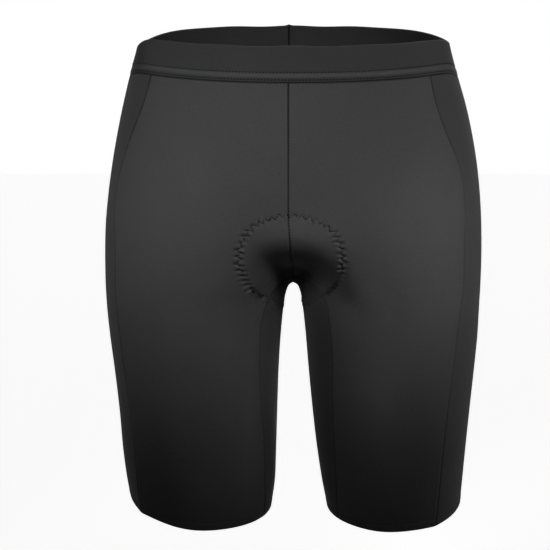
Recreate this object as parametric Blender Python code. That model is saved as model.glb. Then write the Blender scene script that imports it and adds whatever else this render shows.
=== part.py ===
"""Triathlon shorts in their worn, filled-out form: knit panels, a waistband and a seat pad.

The cloth lies on one smooth form.  Each leg is a tube whose level sections are rounded
ovals; above the crotch the two tubes grow into one another, and at the waist they are the
same oval.  Every panel is the stretch of that form between its seams, given a wall.

Metres, +Z up.  The front faces -Y and the wearer's left is +X.  The origin is the middle
of the waist opening, level with the rim.
"""

import bpy
import numpy as np

MM = 0.001

# Cloth
WALL = 1.2 * MM
HEM_WALL = 2.0 * MM
HEM_DEPTH = 20 * MM
BAND_WALL = 2.2 * MM
SEAM_GAP = 0.3 * MM
INNER_SEAM_GAP = 0.45 * MM

# Levels at the middle, and how far each edge bends from level
RIM_HEIGHT = 3.7 * MM
RIGHT_RIM_DROP = 11 * MM
LEFT_RIM_DROP = 6.5 * MM
RIGHT_RIM_RISE = 8 * MM
LEFT_RIM_RISE = 4.5 * MM
FRONT_RISE_DEPTH = 50 * MM
WAIST_SEAM_HEIGHT = -26.8 * MM
WAIST_SEAM_RISE = 3 * MM
WAIST_SEAM_END_DROP = 9 * MM
WAIST_SEAM_END = 146 * MM
HALF_WAIST = 142 * MM
CROTCH_HEIGHT = -205 * MM
HEM_HEIGHT = -436 * MM
RIGHT_HEM_RISE = 20 * MM
RIGHT_HEM_POWER = 3.2
LEFT_HEM_RISE = 12 * MM
LEFT_HEM_POWER = 6
HALF_HIP = 172 * MM

# The centre seams stand this far to the right of x = 0 at the waist and reach it at the crotch.
CENTRE_DRIFT = -4 * MM
DRIFT_TOP = -130 * MM

# Longer than any line inside the form, and than the fall from the crotch row to the crotch seam
FAR = 250 * MM
BELOW_CROTCH = 30 * MM

# How far a leg tube stands in front of y = 0 and behind it, the power of its oval section
# (2 is an ellipse) and how widely the two tubes blend.  Lengths are in millimetres.
DEPTH_COLUMNS = ("height", "front", "back", "power", "blend")
DEPTHS = (
    (-450, 73, 74, 2.10, 12),
    (-400, 79, 79, 2.10, 12),
    (-340, 88, 88, 2.12, 12),
    (-280, 95, 100, 2.15, 12),
    (-220, 102, 115, 2.18, 13),
    (-180, 107, 126, 2.20, 38),
    (-140, 111, 131, 2.20, 28),
    (-100, 112, 127, 2.20, 12),
    (-60, 109, 119, 2.20, 3),
    (-27, 105, 112, 2.20, 0),
    (12, 102, 108, 2.20, 0),
)

# The pouch in front of the crotch: how far it stands out at its height, and how far the form
# is drawn in under it, each with its spread in height; and the middle and half width of both
POUCH_FULLNESS = 6 * MM
POUCH_HEIGHT = -163 * MM
POUCH_SPREAD = 22 * MM
TUCK_DEPTH = 7 * MM
TUCK_HEIGHT = -197 * MM
TUCK_SPREAD = 20 * MM
POUCH_MIDDLE = 4 * MM
POUCH_HALF_WIDTH = 40 * MM

# Distances of each leg tube's outer and inner edges from x = 0, in millimetres: an inner
# edge below zero lies past the middle, inside the other tube.
EDGE_COLUMNS = ("height", "right_outer", "right_inner", "left_outer", "left_inner")
EDGES = (
    (-450, 147, 23.2, 155.5, 35),
    (-435, 149.6, 20.4, 156.8, 32),
    (-415, 154, 17.3, 158.3, 28),
    (-380, 158.4, 15.7, 160.8, 22.6),
    (-340, 161, 14.5, 163.9, 18),
    (-300, 164.8, 13.1, 167.4, 14.2),
    (-265, 168.7, 10.8, 170.1, 11.2),
    (-240, 170.8, 8.1, 171, 8.4),
    (-228, 171.4, 6.2, 171.5, 6.7),
    (-220, 171.7, 3.8, 171.8, 4.3),
    (-212, 171.8, -1, 172, -1),
    (-208, 171.8, -3.8, 172.1, -3.8),
    (-190, 171.7, -17, 172.3, -17),
    (-165, 170.7, -44, 171.7, -44),
    (-140, 168, -78, 170.1, -78),
    (-100, 161.6, -125, 164.7, -125),
    (-60, 153.2, -146, 155.9, -146),
    (-27, 144.8, -145.6, 146, -144.8),
    (-10, 140, -141.2, 141.2, -140),
    (12, 134.8, -136, 136, -134.8),
)

# Distances of the long seams from x = 0, in millimetres: the two on the front of each leg
# tube, then the two on its back.
SEAM_COLUMNS = (
    "height", "right_side", "left_side", "right_inseam", "left_inseam",
    "right_back_side", "left_back_side", "right_back_inseam", "left_back_inseam",
)
SEAMS = (
    (-450, 134, 126, 27, 43, 136, 136, 38, 51),
    (-410, 138, 129.5, 26, 40.5, 143, 142, 35, 46),
    (-360, 140.5, 132.7, 26.5, 38, 148, 147, 33, 42),
    (-310, 145, 136.5, 29.8, 35.8, 152, 151, 32, 39),
    (-270, 149.8, 140.6, 30, 35, 155, 154, 32, 38),
    (-240, 152.2, 143.2, 27.6, 32.2, 157, 156, 31, 35),
    (-225, 153.3, 145, 22.8, 29.5, 158, 157, 28, 30),
    (-213, 153.7, 146.3, 15.5, 21.5, 158.5, 158, 20, 21),
    (-208, 153.7, 146.6, 9.5, 14, 158.5, 158, 13, 14),
    (-205, 153.7, 146.8, 0, 0, 158.5, 158, 0, 0),
    (-180, 153.7, 147, 0, 0, 158, 157, 0, 0),
    (-130, 153, 147, 0, 0, 154, 153, 0, 0),
    (-105, 147.5, 143, 0, 0, 149, 149, 0, 0),
    (-80, 140, 133.5, 0, 0, 143, 143, 0, 0),
    (-55, 131, 124.5, 0, 0, 137, 137, 0, 0),
    (-24, 121.5, 117.3, 0, 0, 130, 130, 0, 0),
)

# Seat pad: it lies inside the cloth, round the crotch, and is measured on the form.  The
# angle turns about PAD_AXIS, from the front (0) through straight down (90) to the back.
PAD_AXIS_Y = 10 * MM
PAD_AXIS_Z = -130 * MM
PAD_CLEARANCE = 2.1 * MM
PAD_THICKNESS = 7 * MM
PAD_EDGE_THICKNESS = 2 * MM
PAD_REACH = 80 * MM
PAD_COLUMNS = ("angle", "half_width")
PAD = (
    (2.6, 8),
    (4.2, 20),
    (7, 31),
    (11.5, 40.5),
    (18, 46.5),
    (26, 50),
    (34, 51),
    (41, 49.5),
    (47, 45),
    (53, 39),
    (60, 34),
    (73, 30.5),
    (90, 30),
    (107, 36),
    (123, 50),
    (140, 66),
    (154, 72),
    (166, 66),
    (174, 52),
    (180, 34),
)

# Cells of each panel's grid
FRONT_CELLS = 11
SIDE_CELLS = 5
INNER_CELLS = 8
UPPER_CELLS = 10
LOWER_CELLS = 15
BAND_CELLS = 4
PAD_CELLS_ALONG = 24
PAD_CELLS_ACROSS = 10

# Powers that draw the rows closer to the crotch, from above and from below, and the
# columns closer to the centre seams and to the pad's middle
UPPER_CROWDING = 1.9
LOWER_CROWDING = 1.8
MIDDLE_CROWDING = 1.35

# Edges that turn more than this are shaded sharp, in radians.
SHARP_TURN = 0.7

LEFT = 1
RIGHT = -1
LEG_NAMES = {LEFT: "left", RIGHT: "right"}

CLOTH_COLOUR = (0.042, 0.042, 0.0425, 1)
BAND_COLOUR = (0.028, 0.028, 0.0285, 1)
PAD_COLOUR = (0.04, 0.04, 0.042, 1)


def unit(vectors):
    """Vectors of length one that point the same way."""
    return vectors / np.linalg.norm(vectors, axis=-1, keepdims=True)


def column(rows, names, name):
    """Return one named column of a table, in the order of its rows."""
    return np.array([row[names.index(name)] for row in rows], dtype=float)


def smooth_through(at, places, values):
    """Cubic curve through the values: each row's slope is that of its neighbours."""
    slopes = np.gradient(values, places)
    k = np.clip(np.searchsorted(places, at) - 1, 0, len(places) - 2)
    step = places[k + 1] - places[k]
    t = np.clip((at - places[k]) / step, 0, 1)
    from_low = (2 * t**3 - 3 * t**2 + 1) * values[k] + (t**3 - 2 * t**2 + t) * step * slopes[k]
    to_high = (3 * t**2 - 2 * t**3) * values[k + 1] + (t**3 - t**2) * step * slopes[k + 1]
    return from_low + to_high


def at_heights(rows, names, name, z):
    """Return a column of a table at the heights z, as it stands in the table."""
    return smooth_through(z / MM, column(rows, names, "height"), column(rows, names, name))


def depth(name, z):
    """Return a column of DEPTHS at the heights z, as it stands in the table."""
    return at_heights(DEPTHS, DEPTH_COLUMNS, name, z)


def edge(name, z):
    """Return a column of EDGES at the heights z, in metres."""
    return MM * at_heights(EDGES, EDGE_COLUMNS, name, z)


def seam(name, z):
    """Return a column of SEAMS at the heights z, in metres."""
    return MM * at_heights(SEAMS, SEAM_COLUMNS, name, z)


def section(side, z):
    """Return the middle and the half sizes of a leg tube's level oval at the heights z."""
    outer = edge(LEG_NAMES[side] + "_outer", z)
    inner = edge(LEG_NAMES[side] + "_inner", z)
    front = MM * depth("front", z)
    back = MM * depth("back", z)
    return side * (outer + inner) / 2, (back - front) / 2, (outer - inner) / 2, (front + back) / 2


def leg_distance(points, side):
    """How far points lie outside a leg tube, measured level and outwards from its middle."""
    middle_x, middle_y, half_x, half_y = section(side, points[..., 2])
    power = depth("power", points[..., 2])
    dx = np.abs(points[..., 0] - middle_x)
    dy = np.abs(points[..., 1] - middle_y)
    reach = ((dx / half_x) ** power + (dy / half_y) ** power) ** (1 / power)
    return np.hypot(dx, dy) * (1 - 1 / np.maximum(reach, 0.001))


def bell(distance, width):
    """A soft rise of height one and the given width."""
    return np.exp(-((distance / width) ** 2))


def pouch(points):
    """How far the pouch moves the front of the form out, below zero under it."""
    x, y, z = np.moveaxis(points, -1, 0)
    out = POUCH_FULLNESS * bell(z - POUCH_HEIGHT, POUCH_SPREAD)
    out -= TUCK_DEPTH * bell(z - TUCK_HEIGHT, TUCK_SPREAD)
    return out * bell(x - POUCH_MIDDLE, POUCH_HALF_WIDTH) * np.clip(-y / POUCH_HALF_WIDTH - 0.5, 0, 1)


def form_distance(points):
    """Both leg tubes joined: the smaller distance, less a soft blend where they are alike."""
    left = leg_distance(points, LEFT)
    right = leg_distance(points, RIGHT)
    blend = np.maximum(MM * depth("blend", points[..., 2]), 0.01 * MM)
    nearness = np.clip(1 - np.abs(left - right) / blend, 0, 1)
    return np.minimum(left, right) - nearness**2 * blend / 4 - pouch(points)


def form_slope(points):
    """Gradient of form_distance, from differences over a tenth of a millimetre."""
    small = 0.1 * MM
    parts = []
    for axis in np.eye(3) * small:
        parts.append((form_distance(points + axis) - form_distance(points - axis)) / (2 * small))
    return np.stack(parts, axis=-1)


def outward(points):
    """Unit normals of the form."""
    return unit(form_slope(points))


def pulled_onto_form(points, free=(1, 1, 1)):
    """Move points along the slope until they lie on the form, along the free axes only."""
    free = np.array(free, dtype=float)
    for _ in range(12):
        slope = form_slope(points) * free
        size = np.sum(slope**2, axis=-1, keepdims=True)
        points = points - form_distance(points)[..., None] * slope / size
    return points


def cast(start, direction, reach=FAR):
    """Points where rays that start inside the form leave it, found by halving."""
    near = np.zeros(start.shape[:-1])
    far = near + reach
    for _ in range(30):
        middle = (near + far) / 2
        inside = form_distance(start + middle[..., None] * direction) < 0
        near = np.where(inside, middle, near)
        far = np.where(inside, far, middle)
    return start + near[..., None] * direction


def centre_line(z):
    """Distance of the centre seams from x = 0, none from the crotch down."""
    share = np.clip((z - CROTCH_HEIGHT) / (DRIFT_TOP - CROTCH_HEIGHT), 0, 1)
    return CENTRE_DRIFT * share**2 * (3 - 2 * share)


def waist_seam_height(x):
    """The waist seam rises a little away from the middle and drops at its two ends."""
    share = np.minimum(np.abs(x / WAIST_SEAM_END), 1)
    return WAIST_SEAM_HEIGHT + WAIST_SEAM_RISE * share**2 - WAIST_SEAM_END_DROP * share**24


def rim_height(x, y):
    """The rim rises away from the middle of the front, and drops at both ends, more at the right."""
    share = np.abs(x / HALF_WAIST)
    rise = np.where(x < 0, RIGHT_RIM_RISE, LEFT_RIM_RISE) * share**4 * np.clip(-y / FRONT_RISE_DEPTH, 0, 1)
    return RIM_HEIGHT + rise - np.where(x < 0, RIGHT_RIM_DROP, LEFT_RIM_DROP) * share**8


def hem_height(x):
    """The hem is level and rises to the outer side of each leg, from further in on the right one."""
    share = np.abs(x / HALF_HIP)
    right = RIGHT_HEM_RISE * share**RIGHT_HEM_POWER
    return HEM_HEIGHT + np.where(x < 0, right, LEFT_HEM_RISE * share**LEFT_HEM_POWER)


def level(share, x):
    """Height of a panel's row: 0 is the waist seam, 1 is the hem."""
    return (1 - share) * waist_seam_height(x) + share * hem_height(x)


def row_shares():
    """Rows from waist seam to hem, with one at the crotch and closer together round it."""
    crotch = (WAIST_SEAM_HEIGHT - CROTCH_HEIGHT) / (WAIST_SEAM_HEIGHT - HEM_HEIGHT)
    upper = crotch * (1 - (1 - np.linspace(0, 1, UPPER_CELLS + 1)) ** UPPER_CROWDING)
    lower = crotch + (1 - crotch) * np.linspace(0, 1, LOWER_CELLS + 1) ** LOWER_CROWDING
    return np.concatenate([upper, lower[1:]])


def seam_points(side, name, toward, shares):
    """A long seam on the front (toward -1) or back (+1) of a leg, one point for each row."""
    x = np.zeros_like(shares)
    for _ in range(4):
        z = level(shares, x)
        x = side * np.maximum(seam(name, z), 0)
        if name.endswith("inseam"):
            x = np.where(z > CROTCH_HEIGHT, centre_line(z), x)
    middle_y = section(side, z)[1]
    start = np.stack([x, middle_y, z], axis=-1)
    return cast(start, np.array([0.0, toward, 0.0]))


def angle_on_leg(points, side):
    """Angle about the leg's middle: 0 is the front, a quarter turn is the outer side."""
    middle_x, middle_y = section(side, points[..., 2])[:2]
    return np.arctan2(side * (points[..., 0] - middle_x), middle_y - points[..., 1])


def between_seams(side, first, last, across, shares):
    """Grid of points on the form from one long seam round the leg to the next.

    The columns stand at the shares `across` of the angle between the two seams.  Rays
    that point to the other leg stop at the centre line.
    """
    start_angle = angle_on_leg(first, side)
    turn = (angle_on_leg(last, side) - start_angle) % (2 * np.pi)
    angles = start_angle[:, None] + turn[:, None] * across
    direction = np.stack([side * np.sin(angles), -np.cos(angles), np.zeros_like(angles)], axis=-1)
    inward = -side * direction[..., 0]
    points = first[:, None] * (1 - across[:, None]) + last[:, None] * across[:, None]
    for _ in range(4):
        z = level(shares[:, None], points[..., 0])
        middle_x, middle_y = section(side, z)[:2]
        to_centre = np.abs(middle_x - centre_line(z))
        reach = np.where(inward > 0.001, to_centre / np.maximum(inward, 0.001), FAR)
        points = cast(np.stack([middle_x, middle_y, z], axis=-1), direction, reach)
    points[:, 0] = first
    points[:, -1] = last
    return points


def crotch_seam(cells):
    """Points of the seam under the body, at x = 0, from front to back."""
    middle = np.array([0, section(LEFT, np.array(CROTCH_HEIGHT))[1], CROTCH_HEIGHT])
    ends = cast(np.stack([middle, middle]), np.array([[0.0, -1.0, 0.0], [0.0, 1.0, 0.0]]))
    start = ends[0] + np.linspace(0, 1, cells + 1)[:, None] * (ends[1] - ends[0])
    points = cast(start, np.array([0.0, 0.0, -1.0]), reach=BELOW_CROTCH)
    points[0], points[-1] = ends
    return points


def patch_between(top, bottom, first, last):
    """Surface that blends four edge curves, pulled onto the form."""
    u = np.linspace(0, 1, len(top))[None, :, None]
    v = np.linspace(0, 1, len(first))[:, None, None]
    across = (1 - u) * first[:, None] + u * last[:, None]
    along = (1 - v) * top[None] + v * bottom[None]
    corners = (1 - v) * ((1 - u) * top[0] + u * top[-1]) + v * ((1 - u) * bottom[0] + u * bottom[-1])
    points = pulled_onto_form(across + along - corners)
    points[0], points[-1] = top, bottom
    points[:, 0], points[:, -1] = first, last
    return points


def drawn_back(grid, edges, gap=SEAM_GAP / 2):
    """Move the named edges of a grid inwards along its surface, square to each edge."""
    grid = grid.copy()
    for name in edges:
        view = grid if name in ("top", "bottom") else np.swapaxes(grid, 0, 1)
        line, beside = (0, 1) if name in ("top", "first") else (-1, -2)
        along = unit(np.diff(view[line], axis=0))
        along = unit(np.concatenate([along[:1], along[:-1] + along[1:], along[-1:]]))
        inward = view[beside] - view[line]
        inward -= np.sum(inward * along, axis=-1, keepdims=True) * along
        view[line] += gap * unit(inward)
    return grid


def add_solid(name, outer, inner, colour, roughness):
    """Close two grids that face each other into one solid with its own material."""
    rows, columns = outer.shape[:2]
    index = np.arange(rows * columns).reshape(rows, columns)
    quads = np.stack([index[:-1, :-1], index[1:, :-1], index[1:, 1:], index[:-1, 1:]], axis=-1).reshape(-1, 4)
    rim = np.concatenate([index[:-1, 0], index[-1, :-1], index[:0:-1, -1], index[0, :0:-1]])
    following = np.roll(rim, -1)
    inside = rows * columns
    sides = np.stack([following, rim, rim + inside, following + inside], axis=-1)
    faces = np.concatenate([quads, quads[:, ::-1] + inside, sides])
    points = np.concatenate([outer.reshape(-1, 3), inner.reshape(-1, 3)])
    corner = points[faces[:, 1:]] - points[faces[:, :1]]
    volume = np.sum(points[faces[:, 0]] * np.cross(corner[:, 0], corner[:, 1]))
    volume += np.sum(points[faces[:, 0]] * np.cross(corner[:, 1], corner[:, 2]))
    if volume < 0:
        faces = faces[:, ::-1]
    mesh = bpy.data.meshes.new(name)
    mesh.from_pydata(points.tolist(), [], faces.tolist())
    mesh.shade_smooth()
    mesh.set_sharp_from_angle(angle=SHARP_TURN)
    material = bpy.data.materials.new(name)
    material.use_nodes = True
    shader = material.node_tree.nodes["Principled BSDF"]
    shader.inputs["Base Color"].default_value = colour
    shader.inputs["Roughness"].default_value = roughness
    shader.inputs["Metallic"].default_value = 0
    material.diffuse_color = colour
    mesh.materials.append(material)
    bpy.context.collection.objects.link(bpy.data.objects.new(name, mesh))


def hem_walls(grid):
    """Wall of each point of a panel: thicker over the turned-up hem."""
    above_hem = grid[..., 2] - hem_height(grid[..., 0])
    return np.where(above_hem < HEM_DEPTH, HEM_WALL, WALL)


def add_panel(name, grid, edges, gap=SEAM_GAP / 2):
    """A cloth panel: its outer face is the grid, its inner face lies a wall deeper."""
    normals = outward(grid)
    walls = hem_walls(grid)[..., None]
    outer = drawn_back(grid, edges, gap)
    inner = drawn_back(grid - walls * normals, edges, gap)
    add_solid(name, outer, inner, CLOTH_COLOUR, 0.55)


def add_leg(side):
    """The four panels of one leg; returns the outer ones' top edges, front to back."""
    leg = LEG_NAMES[side]
    shares = row_shares()
    front_inner = seam_points(side, leg + "_inseam", -1, shares)
    front_side = seam_points(side, leg + "_side", -1, shares)
    back_side = seam_points(side, leg + "_back_side", 1, shares)
    back_inner = seam_points(side, leg + "_back_inseam", 1, shares)
    front_inner[UPPER_CELLS] = crotch_seam(INNER_CELLS)[0]
    back_inner[UPPER_CELLS] = crotch_seam(INNER_CELLS)[-1]
    away_from_middle = np.linspace(0, 1, FRONT_CELLS + 1) ** MIDDLE_CROWDING
    towards_middle = 1 - away_from_middle[::-1]
    front = between_seams(side, front_inner, front_side, away_from_middle, shares)
    outside = between_seams(side, front_side, back_side, np.linspace(0, 1, SIDE_CELLS + 1), shares)
    back = between_seams(side, back_side, back_inner, towards_middle, shares)
    add_panel("front_" + leg, front, ("top", "first", "last"))
    add_panel("side_" + leg, outside, ("top", "first", "last"))
    add_panel("back_" + leg, back, ("top", "first", "last"))
    below = slice(UPPER_CELLS, None)
    evenly = np.linspace(0, 1, INNER_CELLS + 1)
    hem = between_seams(side, back_inner[-1:], front_inner[-1:], evenly, shares[-1:])[0, ::-1]
    inner = patch_between(crotch_seam(INNER_CELLS), hem, front_inner[below], back_inner[below])
    add_panel("inner_" + leg, inner, ("top", "first", "last"), INNER_SEAM_GAP / 2)
    return np.concatenate([front[0], outside[0, 1:], back[0, 1:]])


def add_waistband(left_top, right_top):
    """Strip above the waist seam, round from centre back to centre back."""
    foot = np.concatenate([left_top[::-1], right_top[1:]])
    up = np.linspace(0, 1, BAND_CELLS + 1)[:, None]
    angles = angle_on_leg(foot, LEFT)[None]
    direction = np.stack([np.sin(angles), -np.cos(angles), np.zeros_like(angles)], axis=-1)
    points = np.repeat(foot[None], BAND_CELLS + 1, axis=0)
    for _ in range(3):
        x, y = points[..., 0], points[..., 1]
        z = (1 - up) * waist_seam_height(x) + up * rim_height(x, y)
        middle_y = section(LEFT, z)[1]
        points = cast(np.stack([np.zeros_like(z), middle_y, z], axis=-1), direction)
    points[0] = foot
    inner = points - BAND_WALL * outward(points)
    edges = ("bottom", "first", "last")
    add_solid("waistband", drawn_back(points[::-1], edges), drawn_back(inner[::-1], edges), BAND_COLOUR, 0.5)


def across_form(angles, length, steps=60):
    """Walk over the form from x = 0 to +x, in the plane of each angle about the pad's axis.

    Each step goes on at right angles to the slope and is then pulled back onto the form.
    """
    radial = np.stack([np.zeros_like(angles), -np.cos(angles), -np.sin(angles)], axis=-1)
    start = np.broadcast_to(np.array([0, PAD_AXIS_Y, PAD_AXIS_Z]), radial.shape)
    points = cast(start, radial)
    sideways = np.array([1.0, 0.0, 0.0])
    walk = [points]
    for _ in range(steps):
        slope = form_slope(points)
        rise = np.sum(slope * radial, axis=-1, keepdims=True)
        tangent = rise * sideways - slope[..., :1] * radial
        points = points + length / steps * unit(tangent)
        slope = form_slope(points)
        flat = slope[..., :1] * sideways + np.sum(slope * radial, axis=-1, keepdims=True) * radial
        points = points - form_distance(points)[..., None] * flat / np.sum(flat**2, axis=-1, keepdims=True)
        walk.append(points)
    return np.stack(walk, axis=1)


def add_pad():
    """Seat pad: a thick strip inside the cloth, thin at its edges."""
    rows = column(PAD, PAD_COLUMNS, "angle")
    angles = np.linspace(rows[0], rows[-1], PAD_CELLS_ALONG + 1)
    half_widths = MM * smooth_through(angles, rows, column(PAD, PAD_COLUMNS, "half_width"))
    walk = across_form(np.radians(angles), PAD_REACH)
    across = np.linspace(-1, 1, PAD_CELLS_ACROSS + 1)
    place = np.abs(across) ** MIDDLE_CROWDING * half_widths[:, None] / PAD_REACH * (walk.shape[1] - 1)
    step = np.minimum(place.astype(int), walk.shape[1] - 2)
    part = (place - step)[..., None]
    row = np.arange(len(angles))[:, None]
    points = (1 - part) * walk[row, step] + part * walk[row, step + 1]
    points[..., 0] *= np.sign(across)
    points = pulled_onto_form(points)
    ends = np.linspace(-1, 1, PAD_CELLS_ALONG + 1)[:, None]
    swell = np.sqrt(np.clip(1 - across**6, 0, 1)) * np.sqrt(np.clip(1 - ends**10, 0, 1))
    thickness = PAD_EDGE_THICKNESS + (PAD_THICKNESS - PAD_EDGE_THICKNESS) * swell
    normals = outward(points)
    outer = points - (WALL + PAD_CLEARANCE) * normals
    inner = outer - thickness[..., None] * normals
    add_solid("seat_pad", outer, inner, PAD_COLOUR, 0.8)


def build():
    for old in list(bpy.data.objects):
        bpy.data.objects.remove(old)
    left_top = add_leg(LEFT)
    right_top = add_leg(RIGHT)
    add_waistband(left_top, right_top)
    add_pad()


build()
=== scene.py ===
"""Triathlon shorts in their worn, filled-out form: the finished cloth, its seams, stitches and pad.

Metres, +Z up.  The front faces -Y and the wearer's left is +X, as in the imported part.
The cloth is worked out on the same smooth form as the part's panels, on finer grids, and
relief is added along the form's normals: seams, puckers, hems, the roll of the waistband,
the swell of the seat pad and the soft creases.
"""

from functools import partial

import bpy
import numpy as np
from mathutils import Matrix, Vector


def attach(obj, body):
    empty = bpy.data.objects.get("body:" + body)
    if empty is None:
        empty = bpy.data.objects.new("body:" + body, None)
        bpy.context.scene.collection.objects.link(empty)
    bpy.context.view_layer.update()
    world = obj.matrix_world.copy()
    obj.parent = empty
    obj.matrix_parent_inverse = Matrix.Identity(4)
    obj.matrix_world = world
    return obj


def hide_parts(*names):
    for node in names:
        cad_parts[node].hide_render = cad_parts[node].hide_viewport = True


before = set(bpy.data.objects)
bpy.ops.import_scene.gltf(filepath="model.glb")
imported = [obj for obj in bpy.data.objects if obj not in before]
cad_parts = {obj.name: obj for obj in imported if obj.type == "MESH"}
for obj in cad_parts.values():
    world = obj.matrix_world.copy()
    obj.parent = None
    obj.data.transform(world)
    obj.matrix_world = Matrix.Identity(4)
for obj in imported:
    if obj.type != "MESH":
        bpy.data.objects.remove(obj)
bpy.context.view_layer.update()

MM = 0.001
LEFT = 1
RIGHT = -1
LEG_NAMES = {LEFT: "left", RIGHT: "right"}

# Thickness of the cloth, and the gap between panels where they are sewn together
WALL = 1.2 * MM
HEM_WALL = 2.0 * MM
BAND_WALL = 2.2 * MM
SEAM_GAP = 0.06 * MM

# Levels at the middle, and how far each edge bends from level
RIM_HEIGHT = 3.7 * MM
RIGHT_RIM_DROP = 11 * MM
LEFT_RIM_DROP = 6.5 * MM
RIM_WAVE = 0.5 * MM
RIGHT_RIM_RISE = 8 * MM
LEFT_RIM_RISE = 4.5 * MM
FRONT_RISE_DEPTH = 50 * MM
WAIST_SEAM_HEIGHT = -26.8 * MM
WAIST_SEAM_RISE = 3 * MM
WAIST_SEAM_END_DROP = 9 * MM
WAIST_SEAM_END = 146 * MM
HALF_WAIST = 142 * MM
CROTCH_HEIGHT = -205 * MM
HEM_HEIGHT = -436 * MM
RIGHT_HEM_RISE = 20 * MM
RIGHT_HEM_POWER = 3.2
LEFT_HEM_RISE = 12 * MM
LEFT_HEM_POWER = 6
HALF_HIP = 172 * MM

# The centre seams stand this far to the right of x = 0 at the waist and reach it at the crotch.
CENTRE_DRIFT = -4 * MM
DRIFT_TOP = -130 * MM

# Longer than any line inside the form, and than the fall from the crotch row to the crotch seam
FAR = 250 * MM
BELOW_CROTCH = 30 * MM

# How far a leg tube stands in front of y = 0 and behind it, the power of its oval section
# and how widely the two tubes blend.  Lengths are in millimetres.
DEPTH_COLUMNS = ("height", "front", "back", "power", "blend")
DEPTHS = (
    (-450, 73, 74, 2.10, 12),
    (-400, 79, 79, 2.10, 12),
    (-340, 88, 88, 2.12, 12),
    (-280, 95, 100, 2.15, 12),
    (-220, 102, 115, 2.18, 13),
    (-180, 107, 126, 2.20, 38),
    (-140, 111, 131, 2.20, 28),
    (-100, 112, 127, 2.20, 12),
    (-60, 109, 119, 2.20, 3),
    (-27, 105, 112, 2.20, 0),
    (12, 102, 108, 2.20, 0),
)

# The pouch in front of the crotch: how far it stands out at its height, and how far the form
# is drawn in under it, each with its spread in height.  The tuck runs aslant.  Both have one
# middle, fade out beyond POUCH_REACH with POUCH_POWER, and touch only the front of the form.
POUCH_FULLNESS = 7.5 * MM
POUCH_HEIGHT = -163 * MM
POUCH_SPREAD = 22 * MM
TUCK_DEPTH = 11.5 * MM
TUCK_HEIGHT = -197 * MM
TUCK_SPREAD = 20 * MM
TUCK_SLANT = 0.27
POUCH_MIDDLE = 7 * MM
POUCH_HALF_WIDTH = 40 * MM
POUCH_REACH = 36 * MM
POUCH_POWER = 3.4

# Distances of each leg tube's outer and inner edges from x = 0, in millimetres
EDGE_COLUMNS = ("height", "right_outer", "right_inner", "left_outer", "left_inner")
EDGES = (
    (-450, 147, 23.2, 155.5, 35),
    (-435, 149.6, 20.4, 156.8, 32),
    (-415, 154, 17.3, 158.3, 28),
    (-380, 158.4, 15.7, 160.8, 22.6),
    (-340, 161, 14.5, 163.9, 18),
    (-300, 164.8, 13.1, 167.4, 14.2),
    (-265, 168.7, 10.8, 170.1, 11.2),
    (-240, 170.8, 8.1, 171, 8.4),
    (-228, 171.4, 6.2, 171.5, 6.7),
    (-220, 171.7, 3.8, 171.8, 4.3),
    (-212, 171.8, -1, 172, -1),
    (-208, 171.8, -3.8, 172.1, -3.8),
    (-190, 171.7, -17, 172.3, -17),
    (-165, 170.7, -44, 171.7, -44),
    (-140, 168, -78, 170.1, -78),
    (-100, 161.6, -125, 164.7, -125),
    (-60, 153.2, -146, 155.9, -146),
    (-27, 144.8, -145.6, 146, -144.8),
    (-10, 140, -141.2, 141.2, -140),
    (12, 134.8, -136, 136, -134.8),
)

# Distances of the long seams from x = 0, in millimetres: the two on the front of each leg
# tube, then the two on its back
SEAM_COLUMNS = (
    "height", "right_side", "left_side", "right_inseam", "left_inseam",
    "right_back_side", "left_back_side", "right_back_inseam", "left_back_inseam",
)
SEAMS = (
    (-450, 134, 126, 27, 43, 136, 136, 38, 51),
    (-410, 138, 129.5, 26, 40.5, 143, 142, 35, 46),
    (-360, 140.5, 132.7, 26.5, 38, 148, 147, 33, 42),
    (-310, 145, 136.5, 29.8, 35.8, 152, 151, 32, 39),
    (-270, 149.8, 140.6, 30, 35, 155, 154, 32, 38),
    (-240, 152.2, 143.2, 27.6, 32.2, 157, 156, 31, 35),
    (-225, 153.3, 145, 22.8, 29.5, 158, 157, 28, 30),
    (-213, 153.7, 146.3, 15.5, 21.5, 158.5, 158, 20, 21),
    (-208, 153.7, 146.6, 9.5, 14, 158.5, 158, 13, 14),
    (-205, 153.7, 146.8, 0, 0, 158.5, 158, 0, 0),
    (-180, 153.7, 147, 0, 0, 158, 157, 0, 0),
    (-130, 153, 147, 0, 0, 154, 153, 0, 0),
    (-105, 147.5, 143, 0, 0, 149, 149, 0, 0),
    (-80, 140, 133.5, 0, 0, 143, 143, 0, 0),
    (-55, 131, 124.5, 0, 0, 137, 137, 0, 0),
    (-24, 121.5, 117.3, 0, 0, 130, 130, 0, 0),
)

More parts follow.
